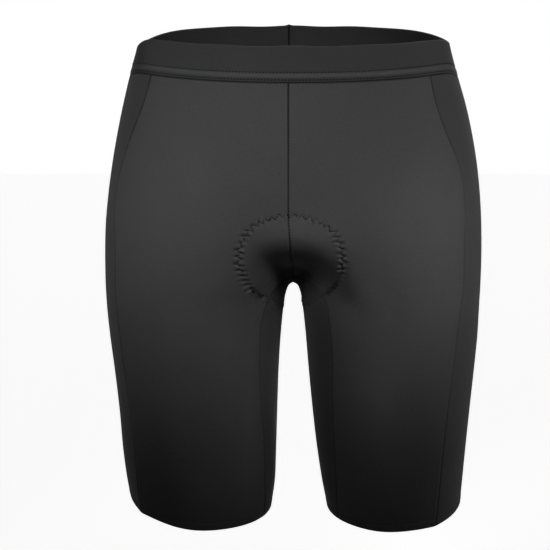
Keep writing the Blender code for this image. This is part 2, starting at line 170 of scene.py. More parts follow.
# The pad and its ring of stitches are measured on the form: the angle turns about PAD_AXIS,
# from the front (0) through straight down (90) to the back, and the half width is
# millimetres along the cloth from x = 0.
PAD_AXIS_Y = 10 * MM
PAD_AXIS_Z = -130 * MM
PAD_CLEARANCE = 2.1 * MM
PAD_THICKNESS = 7 * MM
PAD_EDGE_THICKNESS = 0.4 * MM
PAD_COLUMNS = ("angle", "half_width")
PAD = (
    (2.6, 8),
    (4.2, 20),
    (7, 31),
    (11.5, 40.5),
    (18, 46.5),
    (26, 50),
    (34, 51),
    (41, 49.5),
    (47, 45),
    (53, 39),
    (60, 34),
    (73, 30.5),
    (90, 30),
    (107, 36),
    (123, 50),
    (140, 66),
    (154, 72),
    (166, 66),
    (174, 52),
    (180, 34),
)
RING = (
    (3.9, 0),
    (4.3, 10),
    (5.6, 20),
    (8, 30),
    (11.5, 37.3),
    (16, 42),
    (21.5, 45),
    (27, 46.7),
    (32, 47.6),
    (37, 47.7),
    (42, 46.4),
    (46.5, 43.8),
    (50.5, 39.8),
    (55, 35.8),
    (61, 31.8),
    (70, 28.2),
    (85, 25.7),
    (104, 30),
    (120, 44),
    (136, 62),
    (152, 70),
    (165, 64),
    (174, 50),
    (179, 32),
    (181, 14),
    (181.5, 0),
)
RING_SHIFT = -1.8 * MM
RING_STEP = 0.5 * MM
ZIGZAG_PITCH = 6.2 * MM
ZIGZAG_REACH = 2.3 * MM
PAD_SWELL = 2.6 * MM
SWELL_WIDTH = 20 * MM

# Puckers along the ring grow from slight at the middle of its front: from where, and over how far
CALM_END = 25 * MM
CALM_FADE = 30 * MM

# Where the ring runs low under the crotch its stitches pull a furrow: from and to, as a run from
# the middle of the ring's front, with how far each end fades, and how wide the painted shade line in it
# is
FURROW_START = 88 * MM
FURROW_END = 140 * MM
FURROW_FADE = 14 * MM
FURROW_WIDTH = 1.2 * MM

# A seam's painted shade line, for the shade in its groove: how far it reaches on each side, how
# far it fades beyond, and the length and reach of the stitches that widen and narrow it
SEAM_LINE = 0.45 * MM
SEAM_FADE = 0.6 * MM
SEAM_STITCH = 2.5 * MM
SEAM_STITCH_REACH = 0.3 * MM
# How much a full painted highlight lightens the band's knit, as a share of its colour
PAINTED_HIGHLIGHT_SHARE = 0.5

# Relief of a seam: width of its groove, place and width of the puff beside it, and its puckers'
# pitch, reach from the seam, and the distance over which they start
GROOVE_WIDTH = 0.9 * MM
PUFF_PLACE = 2.4 * MM
PUFF_WIDTH = 1.5 * MM
PUCKER_PITCH = 6.5 * MM
PUCKER_WIDTH = 6 * MM
PUCKER_START = 2 * MM

# Waistband: heights above the waist seam of the two stitch rows and of the roll between them, the
# depth and width of a sunk row, and how far from the middle the painted shade patches on the band lie
LOWER_ROW = 2.3 * MM
ROLL_MIDDLE = 5.2 * MM
UPPER_ROW = 8.4 * MM
ROLL_HEIGHT = 1.0 * MM
ROLL_HALF_WIDTH = 2.3 * MM
BAND_ROW_DEPTH = 0.15 * MM
BAND_ROW_WIDTH = 0.8 * MM
SHADE_PATCH_X = 136 * MM

# Hem: height of its stitch row above the edge, how deep and wide the row is sunk, and how much
# fuller the turned-up cloth is below it
HEM_ROW = 7.5 * MM
HEM_ROW_DEPTH = 0.45 * MM
HEM_ROW_WIDTH = 0.9 * MM
HEM_FULLNESS = 0.25 * MM

# The ridge along which the leg turns at a side seam
SIDE_RIDGE = 2.6 * MM
RIDGE_WIDTH = 15 * MM

# Base colours
KNIT = (0.042, 0.042, 0.0425)
SIDE_KNIT = (0.031, 0.031, 0.0315)
BAND_KNIT = (0.030, 0.030, 0.0305)
PAD_FLEECE = (0.04, 0.04, 0.042)
# Thread: black, and darker than the knit, so that its stitches also paint the shade of their needle holes
# and of the zigzag's groove
THREAD_AND_HOLE_SHADE = (0.0028, 0.0028, 0.003)


# ---------------------------------------------------------------- the form

def unit(vectors):
    """Vectors of length one that point the same way."""
    return vectors / np.maximum(np.linalg.norm(vectors, axis=-1, keepdims=True), 1e-12)


def column(rows, names, name):
    """One named column of a table, in the order of its rows."""
    return np.array([row[names.index(name)] for row in rows], dtype=float)


def named_rows(rows, names):
    """The rows of a table, each as a dictionary by column."""
    return [dict(zip(names, row)) for row in rows]


def smooth_through(at, places, values):
    """Cubic curve through the values: each row's slope is that of its neighbours."""
    slopes = np.gradient(values, places)
    k = np.clip(np.searchsorted(places, at) - 1, 0, len(places) - 2)
    step = places[k + 1] - places[k]
    t = np.clip((at - places[k]) / step, 0, 1)
    from_low = (2 * t**3 - 3 * t**2 + 1) * values[k] + (t**3 - 2 * t**2 + t) * step * slopes[k]
    to_high = (3 * t**2 - 2 * t**3) * values[k + 1] + (t**3 - t**2) * step * slopes[k + 1]
    return from_low + to_high


# Heights at which the tables are read, in millimetres
STEP = 0.25
LEVELS = np.arange(-456, 18, STEP)


def fine_column(rows, names, name, softness):
    """A table's column read at every level and averaged over a bell `softness` millimetres wide."""
    values = smooth_through(LEVELS, column(rows, names, "height"), column(rows, names, name))
    if softness == 0:
        return values
    half = int(3 * softness / STEP)
    bell = np.exp(-((np.arange(-half, half + 1) * STEP / softness) ** 2) / 2)
    padded = np.pad(values, half, mode="reflect", reflect_type="odd")
    return np.convolve(padded, bell / bell.sum(), mode="valid")


DEPTH = {name: fine_column(DEPTHS, DEPTH_COLUMNS, name, 3) for name in DEPTH_COLUMNS[1:]}
EDGE = {name: fine_column(EDGES, EDGE_COLUMNS, name, 2) for name in EDGE_COLUMNS[1:]}
SEAM = {name: fine_column(SEAMS, SEAM_COLUMNS, name, 0) for name in SEAM_COLUMNS[1:]}


def read(table, name, z):
    """A fine column at the heights z in metres, in its own units."""
    return np.interp(z / MM, LEVELS, table[name])


def section(side, z):
    """The middle and the half sizes of a leg tube's level oval at the heights z."""
    outer = MM * read(EDGE, LEG_NAMES[side] + "_outer", z)
    inner = MM * read(EDGE, LEG_NAMES[side] + "_inner", z)
    front = MM * read(DEPTH, "front", z)
    back = MM * read(DEPTH, "back", z)
    return side * (outer + inner) / 2, (back - front) / 2, (outer - inner) / 2, (front + back) / 2


def leg_distance(points, side):
    """How far points lie outside a leg tube, measured level and outwards from its middle."""
    middle_x, middle_y, half_x, half_y = section(side, points[..., 2])
    power = read(DEPTH, "power", points[..., 2])
    dx = np.abs(points[..., 0] - middle_x)
    dy = np.abs(points[..., 1] - middle_y)
    reach = ((dx / half_x) ** power + (dy / half_y) ** power) ** (1 / power)
    return np.hypot(dx, dy) * (1 - 1 / np.maximum(reach, 0.001))


def bell(distance, width):
    """A soft rise of height one and the given width."""
    return np.exp(-((distance / width) ** 2))


def pouch(points):
    """How far the pouch moves the front of the form out, below zero under it."""
    x, y, z = np.moveaxis(points, -1, 0)
    out = POUCH_FULLNESS * bell(z - POUCH_HEIGHT, POUCH_SPREAD)
    out -= TUCK_DEPTH * bell(z - TUCK_HEIGHT + TUCK_SLANT * x, TUCK_SPREAD)
    across = np.exp(-np.abs((x - POUCH_MIDDLE) / POUCH_REACH) ** POUCH_POWER)
    return out * across * np.clip(-y / POUCH_HALF_WIDTH - 0.5, 0, 1)


def form_distance(points):
    """Both leg tubes joined: the smaller distance, less a soft blend where they are alike."""
    left = leg_distance(points, LEFT)
    right = leg_distance(points, RIGHT)
    blend = np.maximum(MM * read(DEPTH, "blend", points[..., 2]), 0.01 * MM)
    nearness = np.clip(1 - np.abs(left - right) / blend, 0, 1)
    return np.minimum(left, right) - nearness**2 * blend / 4 - pouch(points)


def form_slope(points):
    """Gradient of form_distance, from differences over a fifth of a millimetre each way."""
    small = 0.2 * MM
    parts = []
    for axis in np.eye(3) * small:
        parts.append((form_distance(points + axis) - form_distance(points - axis)) / (2 * small))
    return np.stack(parts, axis=-1)


def outward(points):
    """Unit normals of the form."""
    return unit(form_slope(points))


def pulled_onto_form(points, rounds=8):
    """Move points along the slope until they lie on the form."""
    for _ in range(rounds):
        slope = form_slope(points)
        size = np.sum(slope**2, axis=-1, keepdims=True)
        points = points - form_distance(points)[..., None] * slope / size
    return points


HALVINGS = 20
LEAST_TURN = 0.001


def cast(start, direction, reach=FAR):
    """Points where rays that start inside the form leave it, found by halving."""
    near = np.zeros(start.shape[:-1])
    far = near + reach
    for _ in range(HALVINGS):
        middle = (near + far) / 2
        inside = form_distance(start + middle[..., None] * direction) < 0
        near = np.where(inside, middle, near)
        far = np.where(inside, far, middle)
    return start + near[..., None] * direction


def level_rays(angles, side=1):
    """Level directions: 0 is the front, a quarter turn is outwards on the given side."""
    return np.stack([side * np.sin(angles), -np.cos(angles), np.zeros_like(angles)], axis=-1)


def reach_to_wall(distance, toward):
    """How far rays go before an upright wall: `toward` is the part of each that points to it."""
    return np.where(toward > LEAST_TURN, distance / np.maximum(toward, LEAST_TURN), FAR)


def centre_line(z):
    """Distance of the centre seams from x = 0, none from the crotch down."""
    share = np.clip((z - CROTCH_HEIGHT) / (DRIFT_TOP - CROTCH_HEIGHT), 0, 1)
    return CENTRE_DRIFT * share**2 * (3 - 2 * share)


def waist_seam_height(x):
    """The waist seam rises a little away from the middle and drops at its two ends."""
    share = np.minimum(np.abs(x / WAIST_SEAM_END), 1)
    return WAIST_SEAM_HEIGHT + WAIST_SEAM_RISE * share**2 - WAIST_SEAM_END_DROP * share**24


def rim_height(x, y):
    """The rim waves slightly, rises away from the middle of the front and drops at both ends."""
    share = np.abs(x / HALF_WAIST)
    wave = RIM_WAVE * np.cos(x / (9.5 * MM)) * bell(x, 80 * MM)
    rise = np.where(x < 0, RIGHT_RIM_RISE, LEFT_RIM_RISE) * share**4 * ease(-y / FRONT_RISE_DEPTH)
    return RIM_HEIGHT + wave + rise - np.where(x < 0, RIGHT_RIM_DROP, LEFT_RIM_DROP) * share**8


def hem_height(x):
    """The hem is level and rises to the outer side of each leg, from further in on the right one."""
    share = np.abs(x / HALF_HIP)
    right = RIGHT_HEM_RISE * share**RIGHT_HEM_POWER
    return HEM_HEIGHT + np.where(x < 0, right, LEFT_HEM_RISE * share**LEFT_HEM_POWER)


def level(share, x):
    """Height of a panel's row: 0 is the waist seam, 1 is the hem."""
    return (1 - share) * waist_seam_height(x) + share * hem_height(x)


# ---------------------------------------------------------------- grids on the form

def spread_out(count, *crowds):
    """Shares from 0 to 1, denser by 1 + extra round each crowd's middle (middle, width, extra)."""
    x = np.linspace(0, 1, 4001)
    density = np.ones_like(x)
    for middle, width, extra in crowds:
        density += extra * np.exp(-(((x - middle) / width) ** 2))
    filled = np.concatenate([[0], np.cumsum((density[1:] + density[:-1]) / 2)])
    return np.interp(np.linspace(0, 1, count + 1), filled / filled[-1], x)


def with_round_end(shares, length, radius, cuts=5):
    """Shares that stop a radius short of 1 and go on to it as over a quarter circle."""
    turn = np.linspace(0, np.pi / 2, cuts + 1)[1:]
    last = 1 - radius / length
    return np.concatenate([shares * last, last + (1 - last) * np.sin(turn)])


LEG_LENGTH = WAIST_SEAM_HEIGHT - HEM_HEIGHT
CROTCH_SHARE = (WAIST_SEAM_HEIGHT - CROTCH_HEIGHT) / LEG_LENGTH
UPPER = spread_out(140, (0, 0.02, 3), (0.86, 0.3, 1.3))
LOWER = with_round_end(
    spread_out(138, (0, 0.16, 2), (0.967, 0.02, 2), (1, 0.02, 1)),
    LEG_LENGTH * (1 - CROTCH_SHARE),
    HEM_WALL / 2,
)
ROWS = np.concatenate([CROTCH_SHARE * UPPER, CROTCH_SHARE + (1 - CROTCH_SHARE) * LOWER[1:]])
CROTCH_ROW = len(UPPER) - 1
FRONT_COLUMNS = spread_out(104, (0, 0.012, 4), (0.14, 0.2, 1.3), (1, 0.015, 4))
BACK_COLUMNS = spread_out(78, (0, 0.015, 3), (0.75, 0.2, 0.6), (1, 0.012, 4))
SIDE_COLUMNS = spread_out(26, (0, 0.04, 2), (1, 0.04, 2))
INNER_COLUMNS = spread_out(60, (0, 0.03, 3), (1, 0.03, 3))


def seam_points(side, name, toward, shares):
    """A long seam on the front (toward -1) or back (+1) of a leg, one point for each row."""
    x = np.zeros_like(shares)
    for _ in range(4):
        z = level(shares, x)
        x = side * np.maximum(MM * read(SEAM, name, z), 0)
        if name.endswith("inseam"):
            x = np.where(z > CROTCH_HEIGHT, centre_line(z), x)
    middle_y = section(side, z)[1]
    start = np.stack([x, middle_y, z], axis=-1)
    return cast(start, np.array([0.0, toward, 0.0]))


def angle_on_leg(points, side):
    """Angle about the leg's middle: 0 is the front, a quarter turn is the outer side."""
    middle_x, middle_y = section(side, points[..., 2])[:2]
    return np.arctan2(side * (points[..., 0] - middle_x), middle_y - points[..., 1])


def between_seams(side, first, last, across, shares):
    """Grid of points on the form from one long seam round the leg to the next.

    The columns stand at the shares `across` of the angle between the two seams.  Rays
    that point to the other leg stop at the centre line.
    """
    start_angle = angle_on_leg(first, side)
    turn = (angle_on_leg(last, side) - start_angle) % (2 * np.pi)
    angles = start_angle[:, None] + turn[:, None] * across
    direction = level_rays(angles, side)
    inward = -side * direction[..., 0]
    points = first[:, None] * (1 - across[:, None]) + last[:, None] * across[:, None]
    for _ in range(3):
        z = level(shares[:, None], points[..., 0])
        middle_x, middle_y = section(side, z)[:2]
        reach = reach_to_wall(np.abs(middle_x - centre_line(z)), inward)
        points = cast(np.stack([middle_x, middle_y, z], axis=-1), direction, reach)
    points[:, 0] = first
    points[:, -1] = last
    return points


def crotch_seam(across):
    """Points of the seam under the body, at x = 0, from front to back."""
    middle = np.array([0, section(LEFT, np.array(CROTCH_HEIGHT))[1], CROTCH_HEIGHT])
    ends = cast(np.stack([middle, middle]), np.array([[0.0, -1.0, 0.0], [0.0, 1.0, 0.0]]))
    start = ends[0] + across[:, None] * (ends[1] - ends[0])
    points = cast(start, np.array([0.0, 0.0, -1.0]), BELOW_CROTCH)
    points[0], points[-1] = ends
    return points


def patch_between(top, bottom, first, last, across, down):
    """Surface that blends four edge curves, pulled onto the form."""
    u = across[None, :, None]
    v = down[:, None, None]
    sides = (1 - u) * first[:, None] + u * last[:, None]
    ends = (1 - v) * top[None] + v * bottom[None]
    corners = (1 - v) * ((1 - u) * top[0] + u * top[-1]) + v * ((1 - u) * bottom[0] + u * bottom[-1])
    points = pulled_onto_form(sides + ends - corners)
    points[0], points[-1] = top, bottom
    points[:, 0], points[:, -1] = first, last
    return points


def run(grid, axis=0):
    """Length along each line of a grid from its start, along rows (1) or columns (0).

    A single line of points is read along axis 0.
    """
    steps = np.linalg.norm(np.diff(grid, axis=axis), axis=-1)
    start = np.zeros_like(np.take(steps, [0], axis=axis))
    return np.concatenate([start, np.cumsum(steps, axis=axis)], axis=axis)


def drawn_back(grid, edges, gap=SEAM_GAP / 2):
    """Move the named edges of a grid inwards along its surface, square to each edge."""
    grid = grid.copy()
    for name in edges:
        view = grid if name in ("top", "bottom") else np.swapaxes(grid, 0, 1)
        line, beside = (0, 1) if name in ("top", "first") else (-1, -2)
        along = unit(np.diff(view[line], axis=0))
        along = unit(np.concatenate([along[:1], along[:-1] + along[1:], along[-1:]]))
        inward = view[beside] - view[line]
        inward -= np.sum(inward * along, axis=-1, keepdims=True) * along
        view[line] += gap * unit(inward)
    return grid


# ---------------------------------------------------------------- the ring round the pad

def walk_sideways(angles, length, steps):
    """Walk over the form from x = 0 to +x, in the plane of each angle about the pad's axis.

    Each step goes on at right angles to the slope and is then pulled back onto the form.
    """
    radial = np.stack([np.zeros_like(angles), -np.cos(angles), -np.sin(angles)], axis=-1)
    start = np.broadcast_to(np.array([0, PAD_AXIS_Y, PAD_AXIS_Z]), radial.shape)
    points = cast(start, radial)
    sideways = np.array([1.0, 0.0, 0.0])
    walk = [points]
    for _ in range(steps):
        slope = form_slope(points)
        rise = np.sum(slope * radial, axis=-1, keepdims=True)
        points = points + length / steps * unit(rise * sideways - slope[..., :1] * radial)
        slope = form_slope(points)
        flat = slope[..., :1] * sideways + np.sum(slope * radial, axis=-1, keepdims=True) * radial
        size = np.sum(flat**2, axis=-1, keepdims=True)
        points = points - form_distance(points)[..., None] * flat / size
        walk.append(points)
    return np.stack(walk, axis=1)


PAD_REACH = 84 * MM
PAD_ANGLES = np.linspace(0, 184, 185)
PAD_WALK = walk_sideways(np.radians(PAD_ANGLES), PAD_REACH, 84)


def on_pad(angles, widths):
    """Points of the form at the pad's angles in degrees and signed half widths in metres."""
    last_row, last_place = len(PAD_ANGLES) - 1.001, PAD_WALK.shape[1] - 1.001
    row = np.clip((angles - PAD_ANGLES[0]) / (PAD_ANGLES[1] - PAD_ANGLES[0]), 0, last_row)
    place = np.clip(np.abs(widths) / PAD_REACH * (PAD_WALK.shape[1] - 1), 0, last_place)
    i, j = row.astype(int), place.astype(int)
    a, b = (row - i)[..., None], (place - j)[..., None]
    near = (1 - b) * PAD_WALK[i, j] + b * PAD_WALK[i, j + 1]
    next_row = (1 - b) * PAD_WALK[i + 1, j] + b * PAD_WALK[i + 1, j + 1]
    points = (1 - a) * near + a * next_row
    points[..., 0] *= np.where(widths < 0, -1, 1)
    return points


def ring_line():
    """The ring as a closed line on the form, a point every RING_STEP.

    The half outline runs smoothly through RING's rows, by the distance from row to row,
    is mirrored, and moves RING_SHIFT to the right.
    """
    angle = column(RING, PAD_COLUMNS, "angle")
    width = column(RING, PAD_COLUMNS, "half_width")
    angle = np.concatenate([angle, angle[-2:0:-1], angle[:1]])
    width = np.concatenate([width, -width[-2:0:-1], width[:1]])
    coarse = on_pad(angle, MM * width)
    at = run(coarse)
    fine = np.linspace(0, at[-1], 1600)
    line = on_pad(smooth_through(fine, at, angle), MM * smooth_through(fine, at, width))
    line[:, 0] += RING_SHIFT
    line = pulled_onto_form(line, 3)
    at = run(line)
    even = np.arange(0, at[-1], RING_STEP)
    return np.stack([np.interp(even, at, line[:, k]) for k in range(3)], axis=-1), even


RING_POINTS, RING_RUN = ring_line()
RING_NORMALS = outward(RING_POINTS)
RING_ALONG = unit(np.roll(RING_POINTS, -2, axis=0) - np.roll(RING_POINTS, 2, axis=0))
RING_INWARD = np.cross(RING_NORMALS, RING_ALONG)
UNDER_CROTCH = on_pad(np.array([60.0]), np.array([0.0]))[0]
RING_INWARD *= np.sign(np.sum(RING_INWARD[0] * (UNDER_CROTCH - RING_POINTS[0])))


def ring_place(points):
    """For each point: its distance from the ring (inside is positive) and its run along it."""
    flat = points.reshape(-1, 3)
    nearest = np.zeros(len(flat), dtype=int)
    for part in np.array_split(np.arange(len(flat)), max(1, len(flat) // 2000)):
        apart = flat[part, None] - RING_POINTS[None, ::4]
        nearest[part] = 4 * np.argmin(np.einsum("ijk,ijk->ij", apart, apart), axis=1)
    offset = flat - RING_POINTS[nearest]
    along = np.sum(offset * RING_ALONG[nearest], axis=-1)
    side = np.where(np.sum(offset * RING_INWARD[nearest], axis=-1) > 0, 1, -1)
    apart = np.sqrt(np.maximum(np.sum(offset**2, axis=-1) - along**2, 0))
    shape = points.shape[:-1]
    return (side * apart).reshape(shape), (RING_RUN[nearest] + along).reshape(shape)


def ease(share):
    """Smooth change from 0 to 1."""
    share = np.clip(share, 0, 1)
    return share**2 * (3 - 2 * share)


def wander(length, seed, pitch):
    """A slow, uneven swing between about -1 and 1 along a length."""
    ratios = (1, 1.7, 2.9, 0.63)
    starts = np.random.default_rng(seed).uniform(0, 2 * np.pi, len(ratios))
    waves = [np.sin(2 * np.pi * length / (pitch * ratio) + start) for ratio, start in zip(ratios, starts)]
    return sum(waves) / 2.4


def from_ring_front(along):
    """Run along the ring from the middle of its front, the shorter way round."""
    return np.minimum(along, RING_RUN[-1] - along)


def ring_strength(along):
    """Puckers are slight at the ring's front and strong at its sides."""
    return 0.45 + 0.55 * ease((from_ring_front(along) - CALM_END) / CALM_FADE)


ZIGZAG_TURNS = int(round(RING_RUN[-1] / ZIGZAG_PITCH))


def zigzag_swing(along):
    """The zigzag's distance from the ring: a triangle wave whose reach wanders."""
    phase = along / RING_RUN[-1] * ZIGZAG_TURNS + 0.12 * wander(along, 6, 19 * MM)
    reach = ZIGZAG_REACH * (1 + 0.22 * wander(along, 7, 11 * MM))
    return reach * (4 * np.abs(phase % 1 - 0.5) - 1)


def ring_furrow(along):
    """1 where the ring's stitches pull a furrow, 0 elsewhere."""
    run_on = from_ring_front(along)
    return ease((run_on - FURROW_START) / FURROW_FADE) * ease((FURROW_END - run_on) / FURROW_FADE)


def ring_relief(points, apart, along):
    """Swell of the pad inside the ring, and the cloth drawn in along the zigzag.

    The zigzag lies in a groove.  On each side of the ring the cloth bulges between the
    zigzag's turns and sinks at them, and this dies out away from the ring.
    """
    under = bell(points[..., 1] - 0.01, 0.045) * ease((-0.19 - points[..., 2]) / 0.02)
    swell = PAD_SWELL * ease(apart / SWELL_WIDTH) * (1 - 0.8 * under)
    strength = ring_strength(along)
    swing = zigzag_swing(along)
    groove = -(0.7 + 0.7 * strength) * MM * bell(apart - swing, 0.9 * MM)
    furrow = (1.0 + 0.4 * wander(along, 8, 15 * MM)) * MM * ring_furrow(along)
    groove -= furrow * bell(apart - 0.4 * swing, 1.8 * MM)
    reach = (0.7 + 0.8 * strength + 0.4 * wander(along, 3, 21 * MM)) * MM
    height = (0.85 + 0.35 * wander(along, 4, 13 * MM)) * MM * strength
    beyond = np.abs(apart) - ZIGZAG_REACH
    pucker = -height * np.sign(apart) * swing / ZIGZAG_REACH * bell(np.maximum(beyond, 0), reach)
    pucker *= np.clip(np.abs(apart) / ZIGZAG_REACH, 0, 1)
    return swell + groove + pucker


# ---------------------------------------------------------------- relief of the cloth

def seam_relief(distance, depth=0.55 * MM, puff=0.28 * MM):
    """A seam draws the cloth in at its edge, and the cloth swells a little beside it."""
    return -depth * bell(distance, GROOVE_WIDTH) + puff * bell(distance - PUFF_PLACE, PUFF_WIDTH)


def side_seam_ridge(distance, z):
    """The leg turns at a side seam, in a ridge that grows from nothing at the waist."""
    return SIDE_RIDGE * np.exp(-distance / RIDGE_WIDTH) * ease((-0.035 - z) / 0.08)


def seam_puckers(distance, along, seed, height=0.12 * MM):
    """Small uneven waves along a seam: none on the seam itself, and they die out beside it."""
    beside = bell(distance, PUCKER_WIDTH) * ease(distance / PUCKER_START)
    return height * wander(along, seed, PUCKER_PITCH) * beside


def hem_relief(above):
    """The stitch row above the hem's edge is sunk, and the turned-up cloth below it is fuller."""
    sunk = HEM_ROW_DEPTH * bell(above - HEM_ROW, HEM_ROW_WIDTH)
    return HEM_FULLNESS * ease((HEM_ROW - above) / (1.5 * MM)) - sunk


def round_edge(edge, radius):
    """How far a face draws in near its edge, as over a quarter circle."""
    share = np.clip(1 - edge / radius, 0, 1)
    return radius * (1 - np.sqrt(1 - share**2))


# ---------------------------------------------------------------- meshes

def solid_mesh(name, outer, inner, uv, closed=False, to_seam=None, painted_light=None):
    """Close two grids that face each other into one mesh, with lengths along the cloth as UVs.

    A closed grid's last column joins its first.  `to_seam` is each point's distance from the
    nearest seam; the last argument is painted light: 1 where a painted highlight is full, 0 for
    none and below 0 where painted shade darkens the knit.  Both are kept as attributes of those
    names.
    """
    rows, columns = outer.shape[:2]
    index = np.arange(rows * columns).reshape(rows, columns)
    behind = rows * columns
    if closed:
        after = np.roll(index, -1, axis=1)
        quads = np.stack([index[:-1], index[1:], after[1:], after[:-1]], axis=-1)
        top = np.stack([index[0], after[0], after[0] + behind, index[0] + behind], axis=-1)
        foot = np.stack([after[-1], index[-1], index[-1] + behind, after[-1] + behind], axis=-1)
        sides = np.concatenate([top, foot])
    else:
        corners = [index[:-1, :-1], index[1:, :-1], index[1:, 1:], index[:-1, 1:]]
        quads = np.stack(corners, axis=-1)
        rim = np.concatenate([index[:-1, 0], index[-1, :-1], index[:0:-1, -1], index[0, :0:-1]])
        following = np.roll(rim, -1)
        sides = np.stack([following, rim, rim + behind, following + behind], axis=-1)
    quads = quads.reshape(-1, 4)
    faces = np.concatenate([quads, quads[:, ::-1] + behind, sides])
    points = np.concatenate([outer.reshape(-1, 3), inner.reshape(-1, 3)])
    corner = points[faces[:, 1:]] - points[faces[:, :1]]
    volume = np.sum(points[faces[:, 0]] * np.cross(corner[:, 0], corner[:, 1]))
    volume += np.sum(points[faces[:, 0]] * np.cross(corner[:, 1], corner[:, 2]))
    if volume < 0:
        faces = faces[:, ::-1]
    flat_uv = uv.reshape(-1, 2)
    piece = mesh_from(name, points, faces, np.concatenate([flat_uv, flat_uv])[faces.reshape(-1)])
    for key, values in (("to_seam", to_seam), ("painted_light", painted_light)):
        if values is not None:
            attribute = piece.data.attributes.new(key, "FLOAT", "POINT")
            attribute.data.foreach_set("value", np.tile(values.ravel(), 2).astype(np.float32))
    return piece


def mesh_from(name, points, faces, corner_uv=None):
    """An object from arrays: points (n, 3), faces of equal corner count (m, k), UVs per corner."""
    mesh = bpy.data.meshes.new(name)
    count, corners = faces.shape
    mesh.vertices.add(len(points))
    mesh.vertices.foreach_set("co", points.astype(np.float32).ravel())
    mesh.loops.add(count * corners)
    mesh.loops.foreach_set("vertex_index", faces.astype(np.int32).ravel())
    mesh.polygons.add(count)
    mesh.polygons.foreach_set("loop_start", np.arange(0, count * corners, corners, dtype=np.int32))
    if corner_uv is not None:
        layer = mesh.uv_layers.new(name="cloth")
        layer.uv.foreach_set("vector", corner_uv.astype(np.float32).ravel())
    mesh.update(calc_edges=True)
    mesh.validate()
    mesh.shade_smooth()
    piece = bpy.data.objects.new(name, mesh)
    bpy.context.collection.objects.link(piece)
    return piece


def finish_piece(piece, material, slot, *nodes):
    """Give a piece its material and its body, and hide the nodes that it stands for; the slot is not
    used.
    """
    piece.data.materials.append(material)
    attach(piece, "root")
    if nodes:
        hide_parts(*nodes)
    return piece


def cloth_panel(name, grid, relief, to_seam, material, slot):
    """A panel as a thin shell: the grid moved out by its relief, a wall, a round edge at the hem."""
    normals = outward(grid)
    above = grid[..., 2] - hem_height(grid[..., 0])
    wall = WALL + (HEM_WALL - WALL) * ease((HEM_ROW + 1.5 * MM - above) / (2 * MM))
    turned = round_edge(above, HEM_WALL / 2)
    outer = drawn_back(grid + (relief - turned)[..., None] * normals, ("top", "first", "last"))
    inner = grid + (relief - wall + turned)[..., None] * normals
    uv = np.stack([run(grid, 1), run(grid, 0)], axis=-1)
    piece = solid_mesh(name + "_cloth", outer, inner, uv, to_seam=to_seam)
    return finish_piece(piece, material, slot, name)


# Soft creases, in millimetres: from (x, z) to (x, z) on the front or back, how far the middle
# bows sideways, half width, and height (below zero is a trough)
CREASE_COLUMNS = ("face", "x1", "z1", "x2", "z2", "bow", "half_width", "height")
CREASES = (
    ("front", -52, -186, -92, -205, 3, 7, -0.5),
    ("front", -47, -203, -84, -236, -4, 8, -0.45),
    ("front", 52, -190, 88, -214, -3, 8, -0.45),
    ("front", 44, -209, 74, -246, 4, 7, -0.4),
    ("front", -118, -60, -96, -120, 5, 14, -0.5),
    ("front", -118, -285, -76, -480, 4, 23, 3.7),
    ("front", 70, -278, 92, -480, 6, 22, 3.3),
    ("front", 112, -64, 128, -128, -5, 13, -0.45),
    ("back", -20, -150, -70, -222, 9, 9, -0.9),
    ("back", 20, -150, 72, -218, -9, 9, -0.9),
    ("back", -40, -222, -104, -240, -6, 8, -1.1),
    ("back", 38, -222, 100, -236, 6, 8, -1.1),
    ("back", -46, -238, -96, -262, -5, 10, -0.6),
    ("back", 44, -236, 98, -258, 5, 10, -0.6),
    ("back", -30, -60, -86, -78, -5, 12, -0.5),
    ("back", 34, -58, 92, -80, 5, 12, -0.5),
)


def crease_relief(points, face):
    """Each crease is a bell across a bowed line, fading in and out along it."""
    relief = np.zeros(points.shape[:-1])
    for crease in named_rows(CREASES, CREASE_COLUMNS):
        if crease["face"] != face:
            continue
        start = np.array([crease["x1"], crease["z1"]]) * MM
        line = np.array([crease["x2"], crease["z2"]]) * MM - start
        length = np.hypot(*line)
        offset = points[..., [0, 2]] - start
        share = offset @ line / length**2
        across = (offset[..., 0] * line[1] - offset[..., 1] * line[0]) / length
        across = across - crease["bow"] * MM * 4 * share * (1 - share)
        fade = ease(share / 0.35 + 0.2) * ease((1 - share) / 0.45 + 0.2)
        relief += crease["height"] * MM * fade * bell(across, crease["half_width"] * MM)
    return relief


# How much narrower a seam's painted shade line is than at the waist seam, in millimetres: at its
# top and down the leg.  A seam thinned by FLAT_THINNING lies flat.
THINNING_COLUMNS = ("side", "seam", "top", "leg")
THINNINGS = (
    (RIGHT, "side", 0, 0.7),
    (LEFT, "side", 0.45, 0.8),
    (RIGHT, "inner", 0.2, 0.4),
    (LEFT, "inner", 0.2, 0.4),
)
FLAT_THINNING = 1.1 * MM
SEAMS_BESIDE = {
    "front": ("inner", "side"),
    "side": ("side", "side"),
    "back": ("side", "inner"),
    "inner": ("inner", "inner"),
}


def thinning(side, seam, points):
    """How much narrower the seam's painted shade line is at each point: little at the waist, more below.
    """
    rows = named_rows(THINNINGS, THINNING_COLUMNS)
    row = next(row for row in rows if (row["side"], row["seam"]) == (side, seam))
    down = ease((-0.06 - points[..., 2]) / 0.07)
    return (row["top"] + (row["leg"] - row["top"]) * down) * MM


